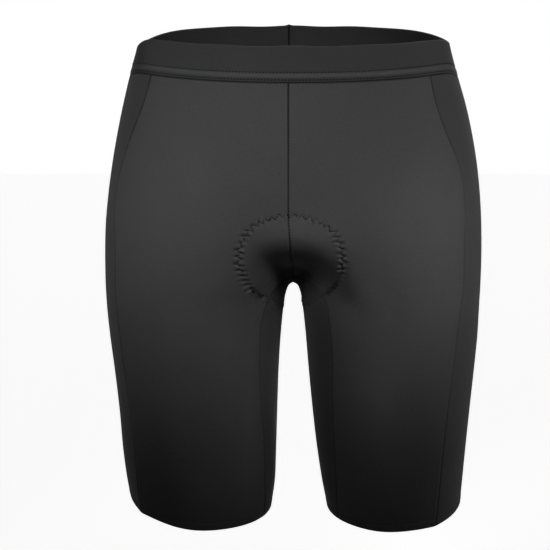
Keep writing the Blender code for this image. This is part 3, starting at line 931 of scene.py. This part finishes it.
def leg_cloth(side, knit, side_knit):
    """The four panels of one leg."""
    leg = LEG_NAMES[side]
    front_inner = seam_points(side, leg + "_inseam", -1, ROWS)
    front_side = seam_points(side, leg + "_side", -1, ROWS)
    back_side = seam_points(side, leg + "_back_side", 1, ROWS)
    back_inner = seam_points(side, leg + "_back_inseam", 1, ROWS)
    under = crotch_seam(INNER_COLUMNS)
    front_inner[CROTCH_ROW], back_inner[CROTCH_ROW] = under[0], under[-1]
    below = slice(CROTCH_ROW, None)
    from_back = 1 - INNER_COLUMNS[::-1]
    hem = between_seams(side, back_inner[-1:], front_inner[-1:], from_back, ROWS[-1:])[0, ::-1]
    grids = {
        "front": between_seams(side, front_inner, front_side, FRONT_COLUMNS, ROWS),
        "side": between_seams(side, front_side, back_side, SIDE_COLUMNS, ROWS),
        "back": between_seams(side, back_side, back_inner, BACK_COLUMNS, ROWS),
        "inner": patch_between(under, hem, front_inner[below], back_inner[below], INNER_COLUMNS, LOWER),
    }
    for number, (part, grid) in enumerate(grids.items()):
        from_first = run(grid, 1)
        from_last = from_first[:, -1:] - from_first
        from_top = run(grid, 0)
        seed = 10 * (side + 2) + number
        first, last = (thinning(side, seam, grid) for seam in SEAMS_BESIDE[part])
        relief = seam_relief(from_first) * (1 - first / FLAT_THINNING)
        relief += seam_relief(from_last) * (1 - last / FLAT_THINNING)
        relief += seam_puckers(from_first, from_top, seed) + seam_puckers(from_last, from_top, seed + 5)
        relief += seam_relief(from_top, 0.3 * MM, 0)
        relief += hem_relief(grid[..., 2] - hem_height(grid[..., 0]))
        if part != "inner":
            to_side_seam = {
                "front": from_last,
                "side": np.minimum(from_first, from_last),
                "back": from_first,
            }
            relief += side_seam_ridge(to_side_seam[part], grid[..., 2])
        # The knit is painted darker near to_seam, as shade along the seams
        to_seam = np.minimum(np.minimum(from_first + first, from_last + last), from_top)
        if part != "side":
            apart, along = ring_place(grid)
            relief += ring_relief(grid, apart, along)
            # The ring's furrow is painted darker too, as shade in it
            to_furrow = np.abs(apart - 0.3 * zigzag_swing(along)) / FURROW_WIDTH * SEAM_LINE
            to_seam = np.minimum(to_seam, to_furrow + (1 - ring_furrow(along)) * SWELL_WIDTH)
        if part in ("front", "back"):
            relief += crease_relief(grid, part)
        cloth, slot = (knit, "knit") if part in ("front", "back") else (side_knit, "side_knit")
        piece = cloth_panel(part + "_" + leg, grid, relief, to_seam, cloth, slot)


# ---------------------------------------------------------------- waistband

BAND_HEIGHT = RIM_HEIGHT - WAIST_SEAM_HEIGHT
BAND_ROWS = with_round_end(spread_out(44, (0.16, 0.13, 4), (0, 0.02, 2)), BAND_HEIGHT, BAND_WALL / 2)
BACK_TAB = 0.9 * MM
BAND_COLUMNS = 620


def band_points(angles, height_of):
    """Points of the band at angles round the waist, at heights given by a function of x and y."""
    direction = level_rays(angles)
    points = HALF_WAIST * direction
    for _ in range(4):
        z = height_of(points[..., 0], points[..., 1])
        middle_y = section(LEFT, z)[1]
        points = cast(np.stack([np.zeros_like(z), middle_y, z], axis=-1), direction)
    return points


def waist_angles(spacing=None, count=None):
    """Angles evenly spaced along the waist seam, from centre back round the front and back to it."""
    turn = np.linspace(-np.pi, np.pi, 1441)
    foot = band_points(turn, lambda x, y: waist_seam_height(x))
    at = run(foot)
    count = count or int(at[-1] / spacing)
    start = np.interp(0, foot[:200, 0][::-1] - CENTRE_DRIFT, at[:200][::-1])
    even = start + np.linspace(0, 1, count + 1) * at[-1]
    return np.interp(even % at[-1], at, turn), even - start


def roll_of(height, around, length):
    """The roll above the waist seam: 1 on its top, 0 beside it, and low at the wearer's sides."""
    to_side = np.minimum(np.abs(around - length / 4), np.abs(around - length * 3 / 4))
    full = 1 - 0.75 * bell(to_side, 50 * MM)
    return full * np.exp(-np.abs((height - ROLL_MIDDLE) / ROLL_HALF_WIDTH) ** 2.6)


def band_relief(height, around, length):
    """The roll between two sunk stitch rows, the drawn-in foot, and the seam at centre back."""
    roll = ROLL_HEIGHT * roll_of(height, around, length)
    rows = bell(height - LOWER_ROW, BAND_ROW_WIDTH) + bell(height - UPPER_ROW, BAND_ROW_WIDTH)
    foot = 0.25 * MM * bell(height, 0.7 * MM)
    swing = 0.12 * MM * wander(around, 31, 19 * MM) * bell(height - ROLL_MIDDLE, 6 * MM)
    back = seam_relief(np.minimum(around, length - around), 0.4 * MM, 0.15 * MM)
    return roll - BAND_ROW_DEPTH * rows - foot + swing + back


def waistband(band_knit):
    """The doubled strip above the waist seam, closed at centre back."""
    angles, around = waist_angles(count=BAND_COLUMNS)
    length = around[-1]
    angles, around = angles[:-1], around[:-1]
    share = BAND_ROWS[:, None]

    def height_of(x, y):
        """Height of each row, with a small tab at the top of the centre back seam."""
        tab = BACK_TAB * bell(x - CENTRE_DRIFT, 2.2 * MM) * (y > 0)
        return (1 - share) * waist_seam_height(x) + share * (rim_height(x, y) + tab)

    grid = band_points(np.broadcast_to(angles, (len(BAND_ROWS), len(angles))), height_of)
    height = run(grid, 0)
    from_rim = height[-1:] - height
    normals = outward(grid)
    relief = band_relief(height, around, length)
    turned = round_edge(from_rim, BAND_WALL / 2)
    outer = drawn_back(grid + (relief - turned)[..., None] * normals, ("top",))
    back_seam = 0.5 * MM * bell(np.minimum(around, length - around), 0.9 * MM)
    inner = grid + (back_seam - BAND_WALL + turned)[..., None] * normals
    uv = np.stack([np.broadcast_to(around, height.shape), height], axis=-1)
    to_seam = np.minimum(height, np.minimum(around, length - around))
    x, y = grid[..., 0], grid[..., 1]
    # Painted light on the band's knit: a painted highlight along the roll and on a strip just above the
    # waist seam, less painted shade in soft patches near both ends of the front
    painted_shade_patches = 1.15 * bell(x + SHADE_PATCH_X, 9 * MM) + 0.45 * bell(x - SHADE_PATCH_X, 8 * MM)
    painted_light = roll_of(height, around, length) + 0.35 * bell(height - 0.9 * MM, 0.5 * MM)
    painted_light -= painted_shade_patches * ease((0.02 - y) / 0.02)
    piece = solid_mesh("waistband_cloth", outer, inner, uv, True, to_seam, painted_light)
    finish_piece(piece, band_knit, "band_knit", "waistband")


# ---------------------------------------------------------------- seat pad

def seat_pad(fleece):
    """A soft pad inside the cloth, full at its middle and thin at its sewn edge."""
    rows = column(PAD, PAD_COLUMNS, "angle")
    cells = 90
    angles = np.linspace(rows[0], rows[-1], cells + 1)
    half_widths = MM * smooth_through(angles, rows, column(PAD, PAD_COLUMNS, "half_width"))
    across = np.linspace(-1, 1, 61)
    turn = np.broadcast_to(angles[:, None], (cells + 1, len(across)))
    widths = np.sign(across) * np.abs(across) ** 0.9 * half_widths[:, None]
    points = pulled_onto_form(on_pad(turn, widths), 3)
    ends = np.linspace(-1, 1, cells + 1)[:, None]
    swell = np.sqrt(np.clip(1 - np.abs(across) ** 3, 0, 1))
    swell = swell * np.sqrt(np.clip(1 - np.abs(ends) ** 9, 0, 1))
    thickness = PAD_EDGE_THICKNESS + (PAD_THICKNESS - PAD_EDGE_THICKNESS) * swell
    normals = outward(points)
    bump = 0.25 * MM * wander(run(points, 0), 41, 34 * MM) * swell
    outer = points - (WALL + PAD_CLEARANCE) * normals
    inner = outer - (thickness + bump)[..., None] * normals
    uv = np.stack([run(points, 1), run(points, 0)], axis=-1)
    piece = solid_mesh("seat_pad_fleece", outer, inner, uv)
    finish_piece(piece, fleece, "pad_fleece", "seat_pad")


# ---------------------------------------------------------------- stitches

THREAD_SIDES = 6


def thread_section(along, normals, width, height):
    """Offsets of an oval round each point of a thread, wide along the cloth and low across it."""
    sideways = unit(np.cross(normals, along))
    turn = 2 * np.pi * np.arange(THREAD_SIDES) / THREAD_SIDES
    offset = np.cos(turn)[:, None] * sideways[:, None] * width / 2
    return offset + np.sin(turn)[:, None] * normals[:, None] * height / 2


def stitch_row(middle, half, points_at, lift):
    """Starts, ends and normals of a row of stitches, each `half` either way of its middle."""
    ends = []
    for share in (-1, 1):
        points = points_at(middle + share * half)
        out = outward(points)
        ends.append(points + np.asarray(lift)[..., None] * out)
    return ends[0], ends[1], out


def strokes(name, starts, ends, normals, width, height, material, slot):
    """Short threads: each a spindle from its start to its end, with round ends.

    Its half thickness at share t of its length is the square root of sin(pi t).
    """
    sides, cuts = THREAD_SIDES, np.array([0.06, 0.3, 0.7, 0.94])
    along = ends - starts
    fullness = np.sqrt(np.sin(np.pi * cuts))[:, None, None]
    section_points = thread_section(along, normals, width, height)[:, None]
    middle = starts[:, None, None] + cuts[None, :, None, None] * along[:, None, None]
    rings = (middle + fullness * section_points).reshape(len(starts), -1, 3)
    points = np.concatenate([starts[:, None], rings, ends[:, None]], axis=1)
    near = 1 + np.arange(sides)
    following = 1 + (np.arange(sides) + 1) % sides
    faces = [np.stack([np.zeros(sides, int), following, near], axis=-1)]
    for k in range(len(cuts) - 1):
        a, b = near + sides * k, following + sides * k
        faces.append(np.stack([a, b, b + sides], axis=-1))
        faces.append(np.stack([a, b + sides, a + sides], axis=-1))
    last = sides * (len(cuts) - 1)
    end = np.full(sides, 1 + sides * len(cuts))
    faces.append(np.stack([near + last, following + last, end], axis=-1))
    one = np.concatenate(faces)
    first_point = points.shape[1] * np.arange(len(starts))[:, None, None]
    all_faces = (one[None] + first_point).reshape(-1, 3)
    return finish_piece(mesh_from(name, points.reshape(-1, 3), all_faces), material, slot)


def closed_thread(name, path, normals, width, height, material, slot):
    """A thread laid along a closed path: an oval section carried from point to point."""
    along = unit(np.roll(path, -1, axis=0) - np.roll(path, 1, axis=0))
    points = path[:, None] + thread_section(along, normals, width, height)
    index = np.arange(len(path) * THREAD_SIDES).reshape(len(path), THREAD_SIDES)
    beside = np.roll(index, -1, axis=1)
    corners = [index, beside, np.roll(beside, -1, axis=0), np.roll(index, -1, axis=0)]
    faces = np.stack(corners, axis=-1).reshape(-1, 4)
    return finish_piece(mesh_from(name, points.reshape(-1, 3), faces), material, slot)


def waist_stitches(thread):
    """Two rows of short stitches, one on each side of the roll."""
    pitch, stitch = 2.9 * MM, 1.6 * MM
    angles, around = waist_angles(spacing=pitch)
    length = around[-1]
    around = around[:-1]
    turn = np.unwrap(angles[:-1])
    half = stitch / pitch / 2 * np.gradient(turn)
    rows = []
    for height, shift in ((LOWER_ROW, 0.0), (UPPER_ROW, 0.4)):

        def points_at(angle):
            """Points of the band at this row's height."""
            return band_points(angle, lambda x, y: waist_seam_height(x) + height)

        lift = band_relief(height, around, length) + 0.1 * MM
        rows.append(stitch_row(turn + shift * np.gradient(turn), half, points_at, lift))
    parts = [np.concatenate(part) for part in zip(*rows)]
    strokes("waist_stitches", *parts, 1.25 * MM, 0.4 * MM, thread, "band_knit")


def zigzag_thread(thread):
    """The zigzag round the pad: the thread swings from side to side of the ring as it goes round.

    The swing is a triangle wave of the run along the ring, and the thread dips at each turn,
    where the needle went through.
    """
    along = np.linspace(0, RING_RUN[-1], ZIGZAG_TURNS * 14, endpoint=False)
    swing = zigzag_swing(along)
    row = along / RING_STEP
    low = row.astype(int) % len(RING_POINTS)
    high = (low + 1) % len(RING_POINTS)
    part = (row % 1)[:, None]
    base = (1 - part) * RING_POINTS[low] + part * RING_POINTS[high]
    inward = unit((1 - part) * RING_INWARD[low] + part * RING_INWARD[high])
    path = pulled_onto_form(base + swing[:, None] * inward, 3)
    normals = outward(path)
    dip = 0.35 * MM * np.clip(np.abs(swing) / ZIGZAG_REACH, 0, 1) ** 6
    lift = ring_relief(path, *ring_place(path)) + 0.3 * MM - dip
    path = path + lift[:, None] * normals
    closed_thread("pad_zigzag", path, normals, 1.05 * MM, 0.5 * MM, thread, "knit")


def front_points(x, z):
    """Points on the front of the body at given x and z."""
    start = np.stack([x, section(LEFT, z)[1], z], axis=-1)
    return cast(start, np.array([0.0, -1.0, 0.0]))


def centre_stitches(thread):
    """Slanted stitches across the centre front seam, from under the waistband to the crotch."""
    pitch = 2.5 * MM
    z = np.arange(WAIST_SEAM_HEIGHT - 2.5 * MM, CROTCH_HEIGHT + 22 * MM, -pitch)
    x = centre_line(z)
    starts = front_points(x - 0.8 * MM, z + 0.55 * MM)
    ends = front_points(x + 0.8 * MM, z - 0.55 * MM)
    middle = front_points(x, z)
    normals = outward(middle)
    lift = (ring_relief(middle, *ring_place(middle)) - 0.1 * MM)[:, None] * normals
    ends_of_all = (starts + lift, ends + lift, normals)
    strokes("centre_front_stitches", *ends_of_all, 0.8 * MM, 0.5 * MM, thread, "knit")


def hem_stitches(thread):
    """A row of stitches round each hem."""
    pitch, stitch = 2.8 * MM, 2.2 * MM
    turn = np.linspace(-np.pi, np.pi, 721)
    rows = []
    for side in (LEFT, RIGHT):
        at = run(hem_points(side, turn))
        count = int(at[-1] / pitch)
        middle = (np.arange(count) + 0.5) / count * at[-1]

        def points_at(distance):
            """Points of this hem's row at distances along it."""
            return hem_points(side, np.interp(distance, at, turn))

        rows.append(stitch_row(middle, stitch / 2, points_at, hem_relief(HEM_ROW) + 0.15 * MM))
    parts = [np.concatenate(part) for part in zip(*rows)]
    strokes("hem_stitches", *parts, 0.5 * MM, 0.4 * MM, thread, "knit")


def hem_points(side, turn):
    """Points of the hem's stitch row at angles round a leg."""
    direction = level_rays(turn, side)
    z = np.full_like(turn, HEM_HEIGHT + HEM_ROW)
    inward = -side * direction[..., 0]
    for _ in range(3):
        middle_x, middle_y = section(side, z)[:2]
        reach = reach_to_wall(np.abs(middle_x), inward)
        points = cast(np.stack([middle_x, middle_y, z], axis=-1), direction, reach)
        z = hem_height(points[..., 0]) + HEM_ROW
    return points


# ---------------------------------------------------------------- materials

def new_group(name, inputs, outputs):
    """A shader node group with named float, colour or vector sockets."""
    group = bpy.data.node_groups.new(name, "ShaderNodeTree")
    for label, kind, default in inputs:
        socket = group.interface.new_socket(name=label, in_out="INPUT", socket_type=kind)
        if default is not None:
            socket.default_value = default
    for label, kind in outputs:
        group.interface.new_socket(name=label, in_out="OUTPUT", socket_type=kind)
    return group, group.nodes.new("NodeGroupInput"), group.nodes.new("NodeGroupOutput")


def maths(tree, operation, first, second=None):
    """A maths node whose inputs are sockets or numbers; gives its output."""
    node = tree.nodes.new("ShaderNodeMath")
    node.operation = operation
    for socket, value in zip(node.inputs, (first, second)):
        if value is None:
            continue
        if isinstance(value, (int, float)):
            socket.default_value = value
        else:
            tree.links.new(value, socket)
    return node.outputs[0]


def set_inputs(node, **values):
    """Set a node's inputs by name, with _ for each space."""
    for name, value in values.items():
        node.inputs[name.replace("_", " ")].default_value = value


def new_material(name):
    """A material with its node tree and Principled shader."""
    material = bpy.data.materials.new(name)
    material.use_nodes = True
    return material, material.node_tree, material.node_tree.nodes["Principled BSDF"]


def knit_group():
    """Fine elastic knit.

    Height: rows of loops, a sine across the cloth times a sine along it, and a fine noise.
    Colour: the yarn colour, darker between loops, where a slow and a fine noise are low, and
    with painted shade along the seams: the share given by the seam input is lost up to SEAM_LINE
    from a seam, and this fades out over SEAM_FADE.  A slanted sine of SEAM_STITCH length widens
    and narrows this painted dark line.  A painted highlight lightens the knit where the band's
    mark is above zero, by a set share of the yarn colour at one, and painted shade darkens it below zero.
    Roughness: about the given value, with the fine noise.
    """
    group, given, result = new_group(
        "fine_knit",
        [
            ("Yarn Colour", "NodeSocketColor", (0.03, 0.03, 0.03, 1)),
            ("Loop Size", "NodeSocketFloat", 0.0007),
            ("Grain", "NodeSocketFloat", 0.3),
            ("Mottle", "NodeSocketFloat", 0.1),
            ("Mean Roughness", "NodeSocketFloat", 0.5),
            ("To Seam", "NodeSocketFloat", 1),
            ("Seam Depth", "NodeSocketFloat", 0.6),
            ("Painted Light", "NodeSocketFloat", 0),
        ],
        [("Colour", "NodeSocketColor"), ("Height", "NodeSocketFloat"), ("Roughness", "NodeSocketFloat")],
    )
    nodes, link = group.nodes, group.links.new
    times, plus, less = (partial(maths, group, kind) for kind in ("MULTIPLY", "ADD", "SUBTRACT"))
    place = nodes.new("ShaderNodeTexCoord")
    apart = nodes.new("ShaderNodeSeparateXYZ")
    link(place.outputs["UV"], apart.inputs[0])
    turns = maths(group, "DIVIDE", 6.2832, given.outputs["Loop Size"])
    across = maths(group, "SINE", times(apart.outputs["X"], turns))
    down = maths(group, "SINE", times(apart.outputs["Y"], turns))
    loops = times(across, down)
    fine = nodes.new("ShaderNodeTexNoise")
    set_inputs(fine, Scale=1100, Detail=3)
    slow = nodes.new("ShaderNodeTexNoise")
    set_inputs(slow, Scale=26, Detail=2)
    for noise in (fine, slow):
        link(place.outputs["Object"], noise.inputs["Vector"])
    fine_swing = less(fine.outputs["Fac"], 0.5)
    grain = times(fine_swing, given.outputs["Grain"])
    mottle = times(less(slow.outputs["Fac"], 0.5), given.outputs["Mottle"])
    weave = times(times(loops, 0.25), given.outputs["Grain"])
    tone = plus(plus(plus(grain, mottle), weave), 1.0)
    # Painted shade along the seams and in the ring's furrow: a dark line that widens and narrows
    slant = plus(apart.outputs["X"], apart.outputs["Y"])
    stitch = maths(group, "SINE", times(slant, 2 * np.pi / SEAM_STITCH))
    line = nodes.new("ShaderNodeMapRange")
    line.interpolation_type = "SMOOTHSTEP"
    set_inputs(line, From_Min=SEAM_LINE, From_Max=SEAM_LINE + SEAM_FADE, To_Min=1, To_Max=0)
    link(plus(given.outputs["To Seam"], times(stitch, SEAM_STITCH_REACH)), line.inputs["Value"])
    kept = less(1.0, times(line.outputs["Result"], given.outputs["Seam Depth"]))
    # Painted highlight where the band's mark is above zero, painted shade where it is below
    painted_lightening = plus(times(given.outputs["Painted Light"], PAINTED_HIGHLIGHT_SHARE), 1.0)
    shade = nodes.new("ShaderNodeVectorMath")
    shade.operation = "SCALE"
    link(given.outputs["Yarn Colour"], shade.inputs[0])
    link(times(times(tone, painted_lightening), kept), shade.inputs["Scale"])
    link(shade.outputs[0], result.inputs["Colour"])
    link(plus(times(loops, 0.5), fine.outputs["Fac"]), result.inputs["Height"])
    link(plus(times(fine_swing, 0.25), given.outputs["Mean Roughness"]), result.inputs["Roughness"])
    return group


# The attributes that a cloth's material reads, each with the input of the group that it goes to
SEWN = (("to_seam", "To Seam"),)
# The band's mark of painted highlight and painted shade
PAINTED_LIGHT_MARKS = (("painted_light", "Painted Light"),)


def cloth_material(name, group, colour, loop=0.7 * MM, grain=0.6, mottle=0.14, rough=0.7,
                   specular=0.01, sheen=0.02, depth=0.12 * MM, seam_shade=0.6, marks=SEWN):
    """A knit finish: the group drives colour, roughness and bump of one Principled shader.

    `marks` is SEWN, or SEWN with the band's painted highlight and shade, or nothing.  The seam
    argument sets how dark the painted seam shade is.
    """
    material, tree, shader = new_material(name)
    cloth = tree.nodes.new("ShaderNodeGroup")
    cloth.node_tree = group
    set_inputs(cloth, Yarn_Colour=(*colour, 1), Loop_Size=loop, Grain=grain, Mottle=mottle)
    set_inputs(cloth, Mean_Roughness=rough, Seam_Depth=seam_shade)
    for attribute, entry in marks:
        mark = tree.nodes.new("ShaderNodeAttribute")
        mark.attribute_name = attribute
        tree.links.new(mark.outputs["Fac"], cloth.inputs[entry])
    bump = tree.nodes.new("ShaderNodeBump")
    set_inputs(bump, Strength=0.5, Distance=depth)
    tree.links.new(cloth.outputs["Colour"], shader.inputs["Base Color"])
    tree.links.new(cloth.outputs["Roughness"], shader.inputs["Roughness"])
    tree.links.new(cloth.outputs["Height"], bump.inputs["Height"])
    tree.links.new(bump.outputs["Normal"], shader.inputs["Normal"])
    set_inputs(shader, Specular_IOR_Level=specular, Sheen_Weight=sheen, Sheen_Roughness=0.4)
    return material


def thread_material(name, colour):
    """Spun thread: a fine noise varies its colour, and it is rough."""
    material, tree, shader = new_material(name)
    place = tree.nodes.new("ShaderNodeTexCoord")
    noise = tree.nodes.new("ShaderNodeTexNoise")
    set_inputs(noise, Scale=2500)
    ramp = tree.nodes.new("ShaderNodeValToRGB")
    for element, share in zip(ramp.color_ramp.elements, (0.6, 1.6)):
        element.color = (*[channel * share for channel in colour], 1)
    tree.links.new(place.outputs["Object"], noise.inputs["Vector"])
    tree.links.new(noise.outputs["Fac"], ramp.inputs["Fac"])
    tree.links.new(ramp.outputs["Color"], shader.inputs["Base Color"])
    set_inputs(shader, Roughness=0.7, Specular_IOR_Level=0.02)
    return material


# ---------------------------------------------------------------- studio

def white_to_the_eye(tree, seen, other):
    """Mix two shaders: `seen` for camera, mirror and glass rays, `other` for all the rest."""
    path = tree.nodes.new("ShaderNodeLightPath")
    rays = maths(tree, "MAXIMUM", path.outputs["Is Camera Ray"], path.outputs["Is Transmission Ray"])
    rays = maths(tree, "MAXIMUM", rays, path.outputs["Is Glossy Ray"])
    mix = tree.nodes.new("ShaderNodeMixShader")
    tree.links.new(rays, mix.inputs[0])
    tree.links.new(other, mix.inputs[1])
    tree.links.new(seen, mix.inputs[2])
    return mix.outputs[0]


def studio_world():
    """White behind the object, and a dim even light on it."""
    world = bpy.data.worlds.new("studio")
    bpy.context.scene.world = world
    world.use_nodes = True
    tree = world.node_tree
    dim = tree.nodes["Background"]
    set_inputs(dim, Color=(1, 1, 1, 1), Strength=0.015)
    white = tree.nodes.new("ShaderNodeBackground")
    set_inputs(white, Color=(1, 1, 1, 1), Strength=1)
    shown = white_to_the_eye(tree, white.outputs[0], dim.outputs[0])
    tree.links.new(shown, tree.nodes["World Output"].inputs["Surface"])


def floor():
    """A pale floor well below the shorts, which hang clear of it."""
    half, height = 6, -1.1
    corners = ((-half, -half), (half, -half), (half, half), (-half, half))
    points = np.array([(x, y, height) for x, y in corners])
    plane = mesh_from("floor", points, np.array([[0, 1, 2, 3]]))
    material, tree, shader = new_material("pale_floor")
    set_inputs(shader, Base_Color=(0.8, 0.8, 0.8, 1), Roughness=0.9)
    glow = tree.nodes.new("ShaderNodeEmission")
    set_inputs(glow, Strength=0.9)
    both = tree.nodes.new("ShaderNodeAddShader")
    tree.links.new(shader.outputs[0], both.inputs[0])
    tree.links.new(glow.outputs[0], both.inputs[1])
    shown = white_to_the_eye(tree, both.outputs[0], shader.outputs[0])
    tree.links.new(shown, tree.nodes["Material Output"].inputs["Surface"])
    plane.data.materials.append(material)


# Soft boxes: the place, the point that they face, and both sizes in metres, the beam in degrees
LIGHT_COLUMNS = ("name", "place", "aim", "width", "height", "beam", "watts")
LIGHTS = (
    ("key_left", (-0.41, -0.87, 0.48), (-0.09, -0.1, -0.07), 0.3, 0.3, 20, 0.3),
    ("key_right", (0.68, -0.82, 0.43), (0.12, -0.1, -0.08), 0.3, 0.3, 20, 0.2),
    ("left_thigh", (-0.41, -0.87, 0.48), (-0.12, -0.1, -0.18), 0.15, 0.15, 8, 0.02),
    ("right_thigh", (0.68, -0.82, 0.43), (0.1, -0.1, -0.2), 0.15, 0.15, 8, 0.04),
    ("right_fill", (0.87, -0.23, -0.14), (0.02, -0.05, -0.22), 0.3, 0.3, 60, 0.07),
    ("right_low", (0.6, -0.8, -0.1), (-0.05, -0.05, -0.35), 0.3, 0.3, 15, 0.005),
    ("left_edge", (-0.9, 0.35, 0.05), (-0.15, 0, -0.14), 0.3, 0.4, 40, 0.12),
    ("right_edge", (0.9, 0.15, -0.1), (0.15, 0, -0.2), 0.3, 0.8, 100, 1.25),
    ("inside_band", (0.05, -0.9, 0.75), (0, 0.1, 0), 0.3, 0.3, 20, 0.08),
    ("back_key", (0.3, 1.0, 0.5), (0.05, 0.1, -0.1), 0.4, 0.3, 34, 0.8),
)


def aimed(data, place, aim):
    """An object for a light or camera at a place, turned to face a point."""
    stand = bpy.data.objects.new(data.name, data)
    stand.location = place
    stand.rotation_euler = (Vector(aim) - Vector(place)).to_track_quat("-Z", "Y").to_euler()
    bpy.context.collection.objects.link(stand)
    return stand


def lights():
    """The soft boxes of LIGHTS."""
    for row in named_rows(LIGHTS, LIGHT_COLUMNS):
        light = bpy.data.lights.new(row["name"], "AREA")
        light.shape = "RECTANGLE"
        light.size = row["width"]
        light.size_y = row["height"]
        light.spread = np.radians(row["beam"])
        light.energy = row["watts"]
        aimed(light, row["place"], row["aim"])


def camera():
    """In front, a little above the rim, looking slightly down; the frame shows the whole garment."""
    data = bpy.data.cameras.new("camera")
    data.sensor_width = 36
    data.lens = 116.86
    data.shift_x = -0.0327
    bpy.context.scene.camera = aimed(data, (0, -1.6, 0.14), (0, 0, -0.215))


def garment():
    """Every piece of cloth and every row of stitches, with their materials."""
    group = knit_group()
    knit = cloth_material("knit", group, KNIT)
    side_knit = cloth_material("side_knit", group, SIDE_KNIT)
    # The band's knit has the darkest painted seam shade, and its painted highlight and shade
    band_knit = cloth_material("band_knit", group, BAND_KNIT, seam_shade=0.85, marks=SEWN + PAINTED_LIGHT_MARKS)
    brushed = {"loop": 1.6 * MM, "rough": 0.9, "specular": 0.1, "sheen": 0.3}
    fleece = cloth_material("pad_fleece", group, PAD_FLEECE, marks=(), **brushed)
    # The black thread is painted darker than the knit, standing also for the shade of its needle holes
    thread = thread_material("black_thread_and_hole_shade", THREAD_AND_HOLE_SHADE)
    hem_thread = thread_material("hem_thread", KNIT)
    for side in (LEFT, RIGHT):
        leg_cloth(side, knit, side_knit)
    waistband(band_knit)
    seat_pad(fleece)
    waist_stitches(thread)
    zigzag_thread(thread)
    centre_stitches(thread)
    hem_stitches(hem_thread)


bpy.context.scene.view_settings.view_transform = "Standard"
garment()
studio_world()
floor()
lights()
camera()
